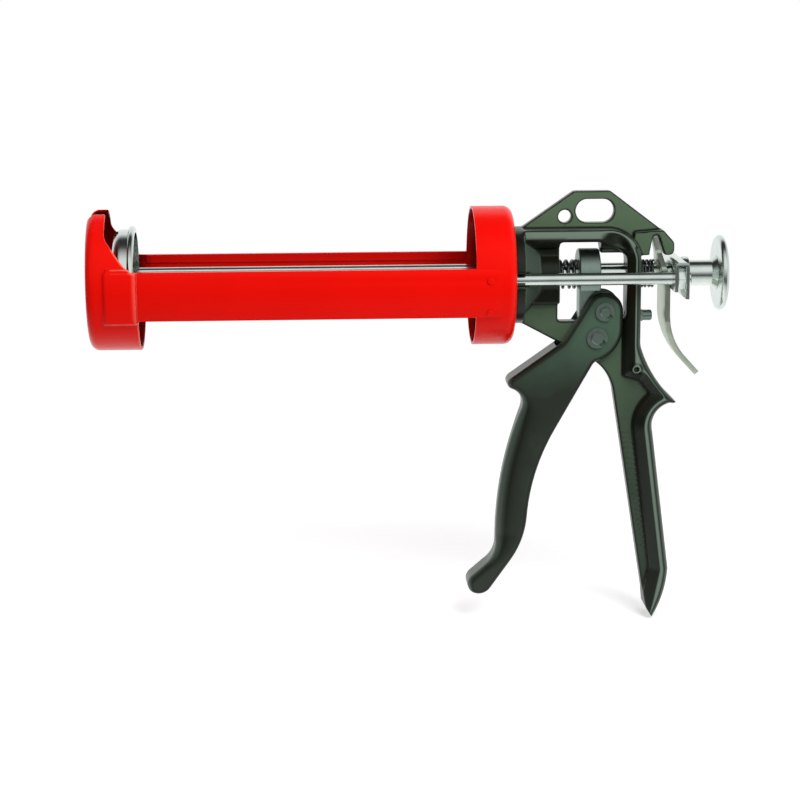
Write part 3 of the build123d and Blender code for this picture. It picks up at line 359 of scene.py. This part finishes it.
hue = add_node(
    tree,
    "ShaderNodeMix",
    {"data_type": "RGBA", 7: linear("#FF8A78")},
    {0: (rim_highlight, 0), 6: (coat_or_shade, 2)},
)
peel = add_node(
    tree,
    "ShaderNodeTexNoise",
    {"Scale": 1000 / 1.6, "Detail": 2.0},
    {"Vector": (where, "Object")},
)
dents = add_node(tree, "ShaderNodeBump", {"Strength": 0.12, "Distance": 0.0002}, {"Height": (peel, "Fac")})
gloss = add_node(tree, "ShaderNodeMapRange", {3: 0.2, 4: 0.3}, {0: (drift, "Fac")})
skin = add_node(
    tree,
    "ShaderNodeBsdfPrincipled",
    {"IOR": 1.5, "Specular IOR Level": 0.25, "Specular Tint": linear("#FF8070")},
    {"Base Color": (hue, 2), "Roughness": (gloss, 0), "Normal": (dents, 0)},
)
add_node(tree, "ShaderNodeOutputMaterial", {}, {"Surface": (skin, 0)})

# Small lips close the tops of the two pockets, cut back towards the mouth.
lips = []
for side in (-1, 1):
    bpy.ops.object.select_all(action="DESELECT")
    bpy.ops.mesh.primitive_cube_add(size=1, location=(LIP_X, side * LIP_Y, LIP_Z), scale=LIP_SIZE)
    lip = bpy.context.object
    lip.name = "pocket_lip"
    bpy.ops.object.transform_apply(location=True, rotation=True, scale=True)
    for vertex in lip.data.vertices:
        if vertex.co.x > LIP_X and vertex.co.z > LIP_Z:
            vertex.co.x -= LIP_CUT
    lips.append(lip)

# The pockets' edges are drawn softly out of the shell, and their mouths roll in towards the rails.
nose_cup = solid_copy("nose_cup", "nose_cup_pressing")
for lip in lips:
    lip.select_set(True)
bpy.ops.object.join()
ease_edges(nose_cup, grain=0.00042, passes=5)
soft = nose_cup.vertex_groups.new(name="soft")
for vertex in nose_cup.data.vertices:
    x, y, z = vertex.co
    reach = hypot(y, z)
    at_foot = POCKET_FOOT[0] < z < POCKET_FOOT[1] and abs(y) > POCKET_SIDE
    at_start = POCKET_START[0] < x < POCKET_START[1] and POCKET_FOOT[0] < z < POCKET_TOP
    if reach > SHELL_RADIUS and x < POCKET_END and (at_start or at_foot):
        soft.add([vertex.index], 1.0, "REPLACE")
    if x > MOUTH_START and MOUTH_HEIGHT[0] < z < MOUTH_HEIGHT[1] and reach > POCKET_RADIUS:
        drop = MOUTH_CURVE * (x - MOUTH_START) ** 2
        vertex.co.y *= 1 - drop / reach
        vertex.co.z *= 1 - drop / reach
rub_down(nose_cup, passes=18, group="soft")
thin_out(nose_cup, share=0.5)
put_on(nose_cup, red_enamel, "frame", "red_enamel", "nose_cup")


# Rear cup and rails: the same pressed and enamelled steel; the rails' edges are folded over
# and their rear ends are riveted to the cup, the rivets painted with the rest.
PRESSED_CORNERS = {"rear_cup": 0.0004, "left_rail": 0.0007, "right_rail": 0.0007, "rail_rivets": 0.0003}


def join_flats():
    """Joins the flat triangles of the active piece into whole faces."""
    bpy.ops.object.mode_set(mode="EDIT")
    bpy.ops.mesh.select_all(action="SELECT")
    bpy.ops.mesh.dissolve_limited(angle_limit=radians(0.5))
    bpy.ops.object.mode_set(mode="OBJECT")


def soften_corners(piece, width):
    """Rounds the corners of the active piece, a welded copy of a solid."""
    join_flats()
    corner = piece.modifiers.new("corner", "BEVEL")
    corner.width = width
    corner.segments = 3
    corner.limit_method = "ANGLE"
    corner.angle_limit = radians(35)
    bpy.ops.object.modifier_apply(modifier="corner")
    bpy.ops.object.shade_smooth_by_angle(angle=radians(30))


for node, width in PRESSED_CORNERS.items():
    piece = solid_copy(node, node + "_pressing")
    soften_corners(piece, width)
    put_on(piece, red_enamel, "frame", "red_enamel", node)


# Frame: one casting in light alloy, with its fixed handle, sprayed with a dark green enamel.
# Mould edges are round, the palm edges most of all, and round the bend the top arm slopes
# from its rim in to the web.
RIM = 0.0105
PALM_ROUND = 0.0036
PALM_FACING = 0.25
EDGE_ON = 0.2
HANDLE_TOP = 0.012
HOLLOW_BOSS = (0.2628, -0.0452)
BOSS_RADIUS = 0.0024
WEB_SIDE = 0.0046
ARM_TOP = 0.0227
ARM_FRONT = 0.2068
ARM_REAR = 0.2605
ARM_FOOT = 0.0095
ARM_DEPTH = 0.0077
ARM_SKIN = 0.0005
ARM_LIP = 0.0011
ARM_SLOPE = 0.0044
SLOPE_START = 0.243
SLOPE_RUN = 0.013
BEND = 0.0128
BEND_X = 0.247
BEND_Z = ARM_TOP - BEND
FADE_START = 0.005
FADE_RUN = 0.004

# Sprayed enamel: a low, pebbled gloss in grey-green, with painted light and shade: darker low down, near
# black on slopes, in a recess and in the corners, and lighter on faces towards one end and upward.
# The rims that stand out furthest and the convex edges are lighter, partly from rubbed wear and partly as
# painted highlight.
WINDOW_LEVEL = 0.0024
WINDOW_HALF = 0.0145
WORN_LIT_RIM_FROM = 0.0097


def spray_enamel(name, low, high, thin, high_lit, end, recess_shade_end):
    """Dark enamel with painted light and shade: the lit colour on faces square to the sides, lighter faces
    towards one end, 1 or -1 along X, and painted shade low down.

    Other slopes are painted near black as shade, and so is a recess forward of an X in the window's height.
    """
    enamel, tree = new_material(name)
    where = add_node(tree, "ShaderNodeTexCoord", {}, {})
    shape = add_node(tree, "ShaderNodeNewGeometry", {}, {})
    drift = add_node(
        tree,
        "ShaderNodeTexNoise",
        {"Scale": 1000 / 18, "Detail": 4.0},
        {"Vector": (where, "Object")},
    )
    place = add_node(tree, "ShaderNodeSeparateXYZ", {}, {0: (where, "Object")})
    # Painted shade: darker towards the bottom and lighter higher up, over a random mottle.
    rise = add_node(tree, "ShaderNodeMapRange", {1: low, 2: high, 3: -0.25, 4: 0.75}, {0: (place, "Z")})
    mottle_and_height_shade = add_node(
        tree,
        "ShaderNodeMath",
        {"operation": "MULTIPLY_ADD", 1: 0.5, "use_clamp": True},
        {0: (drift, "Fac"), 2: (rise, 0)},
    )
    mottled_height_shaded = add_node(
        tree,
        "ShaderNodeMix",
        {"data_type": "RGBA", 6: linear(thin), 7: linear(high_lit)},
        {0: (mottle_and_height_shade, 0)},
    )
    axes = add_node(tree, "ShaderNodeSeparateXYZ", {}, {0: (shape, "Normal")})
    square_on = add_node(tree, "ShaderNodeMath", {"operation": "ABSOLUTE"}, {0: (axes, "Y")})
    # Painted shade: faces that turn away from the sides go dark, and faces square to them keep the lit
    # colour.
    square_on_lit = add_node(tree, "ShaderNodeMapRange", {1: 0.92, 2: 1.0}, {0: (square_on, 0)})
    # Painted shade in a recess: forward of the given X and within the window's height, the colour goes
    # dark.
    past = add_node(tree, "ShaderNodeMapRange", {1: recess_shade_end - 0.004, 2: recess_shade_end}, {0: (place, "X")})
    level = add_node(tree, "ShaderNodeMath", {"operation": "SUBTRACT", 1: WINDOW_LEVEL}, {0: (place, "Z")})
    off_level = add_node(tree, "ShaderNodeMath", {"operation": "ABSOLUTE"}, {0: (level, 0)})
    clear = add_node(
        tree,
        "ShaderNodeMapRange",
        {1: WINDOW_HALF, 2: WINDOW_HALF + 0.0025},
        {0: (off_level, 0)},
    )
    out_of_recess_shade = add_node(
        tree,
        "ShaderNodeMath",
        {"operation": "MAXIMUM"},
        {0: (past, 0), 1: (clear, 0)},
    )
    coat_or_shade = add_node(
        tree,
        "ShaderNodeMath",
        {"operation": "MULTIPLY"},
        {0: (square_on_lit, 0), 1: (out_of_recess_shade, 0)},
    )
    across = add_node(tree, "ShaderNodeMath", {"operation": "ABSOLUTE"}, {0: (place, "Y")})
    # The rims that stand out furthest are lighter, partly from rubbed wear and partly as painted highlight.
    rim_wear_and_highlight = add_node(
        tree,
        "ShaderNodeMapRange",
        {1: WORN_LIT_RIM_FROM, 2: WORN_LIT_RIM_FROM + 0.0006, 3: 0.0, 4: 0.7},
        {0: (across, 0)},
    )
    wear_and_highlight = add_node(
        tree,
        "ShaderNodeMix",
        {"data_type": "RGBA", 7: linear("#76867A")},
        {0: (rim_wear_and_highlight, 0), 6: (mottled_height_shaded, 2)},
    )
    # Painted light on the dark slopes: slopes facing the given end, or facing up, are lighter; all other
    # slopes stay painted shade.
    end_on = add_node(tree, "ShaderNodeMath", {"operation": "MULTIPLY", 1: end}, {0: (axes, "X")})
    end_painted_light = add_node(tree, "ShaderNodeMapRange", {1: 0.42, 2: 0.8}, {0: (end_on, 0)})
    top_painted_light = add_node(tree, "ShaderNodeMapRange", {1: 0.88, 2: 0.98}, {0: (axes, "Z")})
    end_and_top_painted_light = add_node(
        tree,
        "ShaderNodeMath",
        {"operation": "MAXIMUM"},
        {0: (end_painted_light, 0), 1: (top_painted_light, 0)},
    )
    slope_shade_or_light = add_node(
        tree,
        "ShaderNodeMix",
        {"data_type": "RGBA", 6: linear("#14160E"), 7: linear("#4A574D")},
        {0: (end_and_top_painted_light, 0)},
    )
    flat = add_node(
        tree,
        "ShaderNodeMix",
        {"data_type": "RGBA"},
        {0: (coat_or_shade, 0), 6: (slope_shade_or_light, 2), 7: (wear_and_highlight, 2)},
    )
    # Painted shade: near black in corners and creases, where Pointiness is low.
    hollow = add_node(
        tree,
        "ShaderNodeMapRange",
        {1: 0.34, 2: 0.42, 3: 0.8, 4: 0.0},
        {0: (shape, "Pointiness")},
    )
    corner_shade = add_node(
        tree,
        "ShaderNodeMix",
        {"data_type": "RGBA", 7: linear("#0C100C")},
        {0: (hollow, 0), 6: (flat, 2)},
    )
    # Convex edges are lighter, partly from edge wear and partly as painted highlight.
    ridge_wear_and_highlight = add_node(
        tree,
        "ShaderNodeMapRange",
        {1: 0.56, 2: 0.64, 3: 0.0, 4: 0.25},
        {0: (shape, "Pointiness")},
    )
    hue = add_node(
        tree,
        "ShaderNodeMix",
        {"data_type": "RGBA", 7: linear("#8FA394")},
        {0: (ridge_wear_and_highlight, 0), 6: (corner_shade, 2)},
    )
    pebble = add_node(
        tree,
        "ShaderNodeTexNoise",
        {"Scale": 1000 / 1.3, "Detail": 3.0},
        {"Vector": (where, "Object")},
    )
    dents = add_node(
        tree,
        "ShaderNodeBump",
        {"Strength": 0.2, "Distance": 0.0003},
        {"Height": (pebble, "Fac")},
    )
    gloss = add_node(tree, "ShaderNodeMapRange", {3: 0.24, 4: 0.36}, {0: (drift, "Fac")})
    skin = add_node(
        tree,
        "ShaderNodeBsdfPrincipled",
        {"IOR": 1.5, "Specular IOR Level": 0.3, "Specular Tint": linear("#DCEFE4")},
        {"Base Color": (hue, 2), "Roughness": (gloss, 0), "Normal": (dents, 0)},
    )
    add_node(tree, "ShaderNodeOutputMaterial", {}, {"Surface": (skin, 0)})
    return enamel


def rearward_edges(node, side):
    """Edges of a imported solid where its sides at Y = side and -side meet surfaces that face the palm.

    Each is a pair of ends, as X and Z. The ring of the hollow boss is left out.
    """
    piece = solid_copy(node, "outline")
    join_flats()
    points = [vertex.co for vertex in piece.data.vertices]
    ends = []
    for face in piece.data.polygons:
        if face.normal.x < PALM_FACING or abs(face.normal.y) > EDGE_ON:
            continue
        for a, b in face.edge_keys:
            flush = all(abs(abs(points[i].y) - side) < 0.0001 for i in (a, b))
            from_boss = hypot(points[a].x - HOLLOW_BOSS[0], points[a].z - HOLLOW_BOSS[1])
            if flush and points[a].z < HANDLE_TOP and from_boss >= BOSS_RADIUS:
                ends.append([(points[a].x, points[a].z), (points[b].x, points[b].z)])
    bpy.data.objects.remove(piece)
    return np.array(ends)


def nearest_edge(points, ends):
    """For each point, how far the nearest edge is, and which it is."""
    near = np.full(len(points), 9.0)
    which = np.zeros(len(points), int)
    for index, (a, b) in enumerate(ends):
        along = b - a
        share = np.clip((points - a) @ along / max(along @ along, 1e-12), 0, 1)
        gap = np.linalg.norm(points - a - share[:, None] * along, axis=1)
        which = np.where(gap < near, index, which)
        near = np.minimum(near, gap)
    return near, which


def quarter_round(part):
    """Height on a quarter circle, from 0 at its foot to 1 at its top."""
    return np.sqrt(1 - (1 - part) ** 2)


# The casting's points are held within a limit to either side, which is what rounds and slopes it.
palm_edges = rearward_edges("frame", RIM)
casting = solid_copy("frame", "frame_casting")
ease_edges(casting, grain=0.0006, passes=5)
places = np.array([vertex.co[:] for vertex in casting.data.vertices])
depth, _ = nearest_edge(places[:, [0, 2]], palm_edges)
part = np.clip(depth / PALM_ROUND, 0, 1)
limit = np.where(part < 1, RIM - PALM_ROUND * (1 - quarter_round(part)), 1.0)
x = places[:, 0]
z = places[:, 2]
from_bend = np.hypot(x - BEND_X, np.maximum(z - BEND_Z, 0))
inward = np.where(x > BEND_X, BEND - from_bend, ARM_TOP - z)
rise = np.clip(1 - (inward - ARM_LIP) / ARM_SLOPE, 0, 1)
fade = np.clip((BEND_Z + FADE_START - z) / FADE_RUN, 0, 1)
along_arm = (x > ARM_FRONT) & (x < ARM_REAR) & (z > ARM_FOOT)
in_arm = along_arm & (inward > -ARM_SKIN) & (inward < ARM_DEPTH)
turned = np.clip((x - SLOPE_START) / SLOPE_RUN, 0, 1)
slope = RIM - (RIM - WEB_SIDE) * (1 - np.maximum(rise, fade)) * turned
limit = np.where(in_arm, np.minimum(limit, slope), limit)
places[:, 1] = np.sign(places[:, 1]) * np.minimum(np.abs(places[:, 1]), limit)
casting.data.vertices.foreach_set("co", places.ravel())
rub_down(casting, passes=3)
bpy.ops.object.shade_smooth()
# Painted light and shade for the frame: thin is the tone painted as shade low down, the other is the lit
# tone high up, and the recess forward of the window is painted in shade.
frame_enamel = spray_enamel(
    "dark_green_enamel",
    low=-0.16,
    high=0.03,
    thin="#28322A",
    high_lit="#52664F",
    end=1.0,
    recess_shade_end=0.2275,
)
put_on(casting, frame_enamel, "frame", "dark_enamel", "frame")


# Grip bars: short raised bars, cast in one with the frame on both sides of the fixed handle
# and painted with it. They keep the hand from slipping.
BARS = 23
BAR_SIZE = (0.0050, 0.0012, 0.0009)
BAR_ROUND = 0.00035
BAR_TURN = radians(-10.3)
BAR_SIDE = 0.00372
FIRST_BAR = (0.2577, -0.0775)
BAR_RUN = (0.0106, -0.0570)
bpy.ops.object.select_all(action="DESELECT")
bpy.ops.mesh.primitive_cube_add(size=1, scale=BAR_SIZE)
bar = bpy.context.object
bar.name = "grip_bars"
bpy.ops.object.transform_apply(location=True, rotation=True, scale=True)
bpy.ops.object.mode_set(mode="EDIT")
bpy.ops.mesh.select_all(action="SELECT")
bpy.ops.mesh.bevel(offset=BAR_ROUND, segments=2, affect="EDGES")
bpy.ops.object.mode_set(mode="OBJECT")
bpy.ops.object.shade_smooth_by_angle(angle=radians(40))
bars = []
for side in (-1, 1):
    for step in range(BARS):
        copy = bar.copy()
        copy.data = bar.data.copy()
        bpy.context.collection.objects.link(copy)
        x, z = (first + run * step / (BARS - 1) for first, run in zip(FIRST_BAR, BAR_RUN))
        copy.location = (x, side * BAR_SIDE, z)
        copy.rotation_euler = (0, BAR_TURN, 0)
        bars.append(copy)
bpy.data.objects.remove(bar)
bpy.ops.object.select_all(action="DESELECT")
for copy in bars:
    copy.select_set(True)
bpy.context.view_layer.objects.active = bars[0]
bpy.ops.object.transform_apply(location=True, rotation=True, scale=True)
bpy.ops.object.join()
grip_bars = bpy.context.object
grip_bars.name = "grip_bars"
grip_bars.data.materials.append(frame_enamel)
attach(grip_bars, "frame")


# Trigger: a forked casting in the same paint. Its finger side is rounded nearly to a half circle,
# the cheeks round the pins have sloped edges, and its back is almost flat.
SPINE = [
    (0.2458, -0.0172),
    (0.236, -0.045),
    (0.212, -0.075),
    (0.203, -0.110),
    (0.200, -0.135),
    (0.180, -0.155),
]
PINS = np.array([(0.2422, -0.0299), (0.2458, -0.0172)])
PIN_HOLE = 0.0036
OUTLINE_SIDE = 0.0070
HALF = 0.0095
CHEEK = 0.0064
CHEEK_FOOT = -0.050
GRIP_FADE = 0.030
TOE_TOP = -0.128
TOE_FADE = 0.016
BACK_ROUND = 0.0025


def cut_outline(node, level):
    """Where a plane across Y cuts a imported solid: the two ends of each edge of the cut, as X and Z."""
    slice_of = solid_copy(node, "slice")
    bpy.ops.object.mode_set(mode="EDIT")
    bpy.ops.mesh.select_all(action="SELECT")
    bpy.ops.mesh.bisect(plane_co=(0, level, 0), plane_no=(0, 1, 0), clear_inner=True, clear_outer=True)
    bpy.ops.object.mode_set(mode="OBJECT")
    places = [(v.co.x, v.co.z) for v in slice_of.data.vertices]
    ends = np.array([[places[i] for i in edge.vertices] for edge in slice_of.data.edges])
    bpy.data.objects.remove(slice_of)
    return ends


# The outline is split along the trigger's spine into its finger side and its back.
outline = cut_outline("trigger", OUTLINE_SIDE)
middles = outline.mean(axis=1)
from_pins = np.linalg.norm(middles[:, None] - PINS[None], axis=2).min(axis=1)
outline = outline[from_pins > PIN_HOLE]
middles = middles[from_pins > PIN_HOLE]
spine = np.array([SPINE[:-1], SPINE[1:]]).transpose(1, 0, 2)
_, beside = nearest_edge(middles, spine)
run = spine[beside, 1] - spine[beside, 0]
aside = middles - spine[beside, 0]
finger_side = run[:, 0] * aside[:, 1] - run[:, 1] * aside[:, 0] < 0
trigger = solid_copy("trigger", "trigger_casting")
ease_edges(trigger, grain=0.0005, passes=3)
places = np.array([vertex.co[:] for vertex in trigger.data.vertices])
from_front, _ = nearest_edge(places[:, [0, 2]], outline[finger_side])
from_back, _ = nearest_edge(places[:, [0, 2]], outline[~finger_side])
height = places[:, 2]
low = np.clip((CHEEK_FOOT - height) / GRIP_FADE, 0, 1)
low = low * low * (3 - 2 * low)
toe = np.clip((TOE_TOP - height) / TOE_FADE, 0, 1)

# Width as a share of the full half width: least at the finger edge, and full where the crown ends.
# The crown is deepest along the grip and runs out at the toe.
least = 0.76 - 0.46 * low + 0.5 * toe
crown = 0.011 + 0.003 * low - 0.0105 * toe
width = least + (1 - least) * quarter_round(np.clip(from_front / crown, 0, 1))
width = width * (0.92 + 0.08 * quarter_round(np.clip(from_back / BACK_ROUND, 0, 1)))
at_cheeks = height > CHEEK_FOOT
base = np.where(at_cheeks, CHEEK, 0.0)
narrow = np.where(at_cheeks, 1 - (1 - width) * HALF / (HALF - CHEEK), width)
size = np.abs(places[:, 1])
size = np.where(size > base, base + (size - base) * np.clip(narrow, 0.1, 1), size)
places[:, 1] = np.sign(places[:, 1]) * size
trigger.data.vertices.foreach_set("co", places.ravel())
rub_down(trigger, passes=6)
thin_out(trigger, share=0.55)
# Painted light and shade for the trigger: thin is the shaded tone low down, the other is the lit tone at
# the head, and faces towards the front are painted lighter.
trigger_enamel = spray_enamel(
    "dark_green_trigger_enamel",
    low=-0.060,
    high=-0.025,
    thin="#272C25",
    high_lit="#465D4D",
    end=-1.0,
    recess_shade_end=0.0,
)
put_on(trigger, trigger_enamel, "trigger", "dark_enamel", "trigger")


# Pins, clips, roller, screws and grip block: turned and stamped steel with a dark phosphate finish.
# The clips hold the trigger's two pins in, and the grip block slides on the drive rod.
def coat_nodes(material, *nodes):
    """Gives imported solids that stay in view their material."""
    for node in nodes:
        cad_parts[node].data.materials.clear()
        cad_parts[node].data.materials.append(material)


# Phosphated steel: a fine grey-green grain with a dull shine. The real crystals are too small to see,
# so the grain is drawn coarser.
phosphate, tree = new_material("phosphated_steel")
where = add_node(tree, "ShaderNodeTexCoord", {}, {})
grain = add_node(
    tree,
    "ShaderNodeTexNoise",
    {"Scale": 1000 / 0.8, "Detail": 3.0},
    {"Vector": (where, "Object")},
)
hue = add_node(
    tree,
    "ShaderNodeMix",
    {"data_type": "RGBA", 6: linear("#70817A"), 7: linear("#92A39A")},
    {0: (grain, "Fac")},
)
gloss = add_node(tree, "ShaderNodeMapRange", {3: 0.32, 4: 0.44}, {0: (grain, "Fac")})
dents = add_node(tree, "ShaderNodeBump", {"Strength": 0.05, "Distance": 0.0001}, {"Height": (grain, "Fac")})
skin = add_node(
    tree,
    "ShaderNodeBsdfPrincipled",
    {"Metallic": 1.0},
    {"Base Color": (hue, 2), "Roughness": (gloss, 0), "Normal": (dents, 0)},
)
add_node(tree, "ShaderNodeOutputMaterial", {}, {"Surface": (skin, 0)})
coat_nodes(phosphate, "pivot_pin", "thrust_pin", "pivot_clips", "thrust_clips", "thrust_roller")
coat_nodes(phosphate, "cup_screws", "stop_screw", "stop_nut")
grip_block = solid_copy("grip_block", "grip_block_turning")
soften_corners(grip_block, width=0.0003)
put_on(grip_block, phosphate, "grip", "zinc_plate", "grip_block")


# Springs: hard-drawn steel wire coiled with closed ends, oil-blackened. The big one sits in the rod
# boss and pushes the grip block back; the small one holds the release lever off.
WIRE_SIDES = 14
TURN_STEPS = 40
CLOSED_PITCH = 1.04


def wind_spring(name, start, end, radius, wire, turns):
    """A coil about the gun's axis between two faces, whose first and last turns lie close together."""
    bpy.ops.object.select_all(action="DESELECT")
    bpy.ops.mesh.primitive_circle_add(
        vertices=WIRE_SIDES,
        radius=wire / 2,
        location=(start + wire / 2, 0, radius),
        rotation=(pi / 2, 0, 0),
    )
    coil = bpy.context.object
    coil.name = name
    bpy.ops.object.transform_apply(location=True, rotation=True)
    rise = (end - start - wire) / turns
    winding = coil.modifiers.new("winding", "SCREW")
    winding.axis = "X"
    winding.iterations = turns
    winding.steps = TURN_STEPS
    winding.render_steps = TURN_STEPS
    winding.screw_offset = rise
    bpy.ops.object.modifier_apply(modifier="winding")
    closed = wire * CLOSED_PITCH
    steep = (end - start - wire - 2 * closed) / (turns - 2)
    for index, vertex in enumerate(coil.data.vertices):
        turn = (index // WIRE_SIDES) / TURN_STEPS
        low = min(turn, 1.0) * closed
        middle = min(max(turn - 1.0, 0.0), turns - 2.0) * steep
        high = max(turn - turns + 1.0, 0.0) * closed
        vertex.co.x += low + middle + high - turn * rise
    bpy.ops.object.mode_set(mode="EDIT")
    bpy.ops.mesh.select_all(action="SELECT")
    bpy.ops.mesh.fill_holes(sides=WIRE_SIDES)
    bpy.ops.mesh.select_all(action="SELECT")
    bpy.ops.mesh.normals_make_consistent(inside=False)
    bpy.ops.object.mode_set(mode="OBJECT")
    bpy.ops.object.shade_smooth_by_angle(angle=radians(60))
    return coil


# Oil-blackened wire: dark grey, with a wet shine that comes and goes along it.
black_wire, tree = new_material("oiled_spring_wire")
where = add_node(tree, "ShaderNodeTexCoord", {}, {})
oil = add_node(
    tree,
    "ShaderNodeTexNoise",
    {"Scale": 1000 / 3, "Detail": 3.0},
    {"Vector": (where, "Object")},
)
hue = add_node(
    tree,
    "ShaderNodeMix",
    {"data_type": "RGBA", 6: linear("#3C423F"), 7: linear("#6C7471")},
    {0: (oil, "Fac")},
)
gloss = add_node(tree, "ShaderNodeMapRange", {3: 0.25, 4: 0.42}, {0: (oil, "Fac")})
skin = add_node(
    tree,
    "ShaderNodeBsdfPrincipled",
    {"Metallic": 1.0},
    {"Base Color": (hue, 2), "Roughness": (gloss, 0)},
)
add_node(tree, "ShaderNodeOutputMaterial", {}, {"Surface": (skin, 0)})

near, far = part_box("drive_spring")
drive_coil = wind_spring("drive_coil", near[0], far[0], radius=0.0065, wire=0.0015, turns=6)
put_on(drive_coil, black_wire, "frame", "spring_steel", "drive_spring")
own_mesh(drive_coil)
near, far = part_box("release_spring")
release_coil = wind_spring("release_coil", near[0], far[0], radius=0.0063, wire=0.0012, turns=4)
put_on(release_coil, black_wire, "frame", "spring_steel", "release_spring")
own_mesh(release_coil)


# Rods, pusher, bridge, knob and their nuts: drawn, turned and pressed steel with a bright zinc plate.
# The bridge ties the three rods at the back, and the collar, stem and knob sit on the drive rod's tail.
#
# Zinc plate: a cool, faintly green metal with soft clouds, over lengthwise draw marks. The real marks
# are too fine to see, so they are drawn coarser.
zinc_plate, tree = new_material("bright_zinc_plate")
where = add_node(tree, "ShaderNodeTexCoord", {}, {})
cloud = add_node(
    tree,
    "ShaderNodeTexNoise",
    {"Scale": 1000 / 9, "Detail": 4.0},
    {"Vector": (where, "Object")},
)
hue = add_node(
    tree,
    "ShaderNodeMix",
    {"data_type": "RGBA", 6: linear("#BFCCC5"), 7: linear("#E2E9E6")},
    {0: (cloud, "Fac")},
)
long_way = add_node(tree, "ShaderNodeMapping", {"Scale": (0.04, 1.0, 1.0)}, {"Vector": (where, "Object")})
draw = add_node(tree, "ShaderNodeTexNoise", {"Scale": 1000 / 0.5, "Detail": 2.0}, {"Vector": (long_way, 0)})
dents = add_node(tree, "ShaderNodeBump", {"Strength": 0.1, "Distance": 0.0001}, {"Height": (draw, "Fac")})
gloss = add_node(tree, "ShaderNodeMapRange", {3: 0.14, 4: 0.24}, {0: (cloud, "Fac")})
skin = add_node(
    tree,
    "ShaderNodeBsdfPrincipled",
    {"Metallic": 1.0},
    {"Base Color": (hue, 2), "Roughness": (gloss, 0), "Normal": (dents, 0)},
)
add_node(tree, "ShaderNodeOutputMaterial", {}, {"Surface": (skin, 0)})
coat_nodes(zinc_plate, "drive_rod", "left_side_rod", "right_side_rod")
coat_nodes(zinc_plate, "pusher", "pusher_nut", "pull_knob", "knob_stem")
for node in ("rod_bridge", "bridge_nuts", "collar_nut"):
    piece = solid_copy(node, node + "_plated")
    soften_corners(piece, width=0.0003)
    put_on(piece, zinc_plate, "pushrods", "zinc_plate", node)


# Release lever: thick steel strip, pressed and bent, plated and then dipped in a chromate bath.
# Its top hooks behind the frame's spine. The bath leaves a pale straw-green film with soft
# darker streaks.
chromate, tree = new_material("chromated_zinc_plate")
where = add_node(tree, "ShaderNodeTexCoord", {}, {})
streak = add_node(
    tree,
    "ShaderNodeTexNoise",
    {"Scale": 1000 / 7, "Detail": 5.0},
    {"Vector": (where, "Object")},
)
hue = add_node(
    tree,
    "ShaderNodeMix",
    {"data_type": "RGBA", 6: linear("#98A08F"), 7: linear("#C4D0C0")},
    {0: (streak, "Fac")},
)
gloss = add_node(tree, "ShaderNodeMapRange", {3: 0.28, 4: 0.42}, {0: (streak, "Fac")})
skin = add_node(
    tree,
    "ShaderNodeBsdfPrincipled",
    {"Metallic": 1.0},
    {"Base Color": (hue, 2), "Roughness": (gloss, 0)},
)
add_node(tree, "ShaderNodeOutputMaterial", {}, {"Surface": (skin, 0)})
release_lever = solid_copy("release_lever", "release_lever_plated")
soften_corners(release_lever, width=0.0004)
put_on(release_lever, chromate, "release", "zinc_plate", "release_lever")
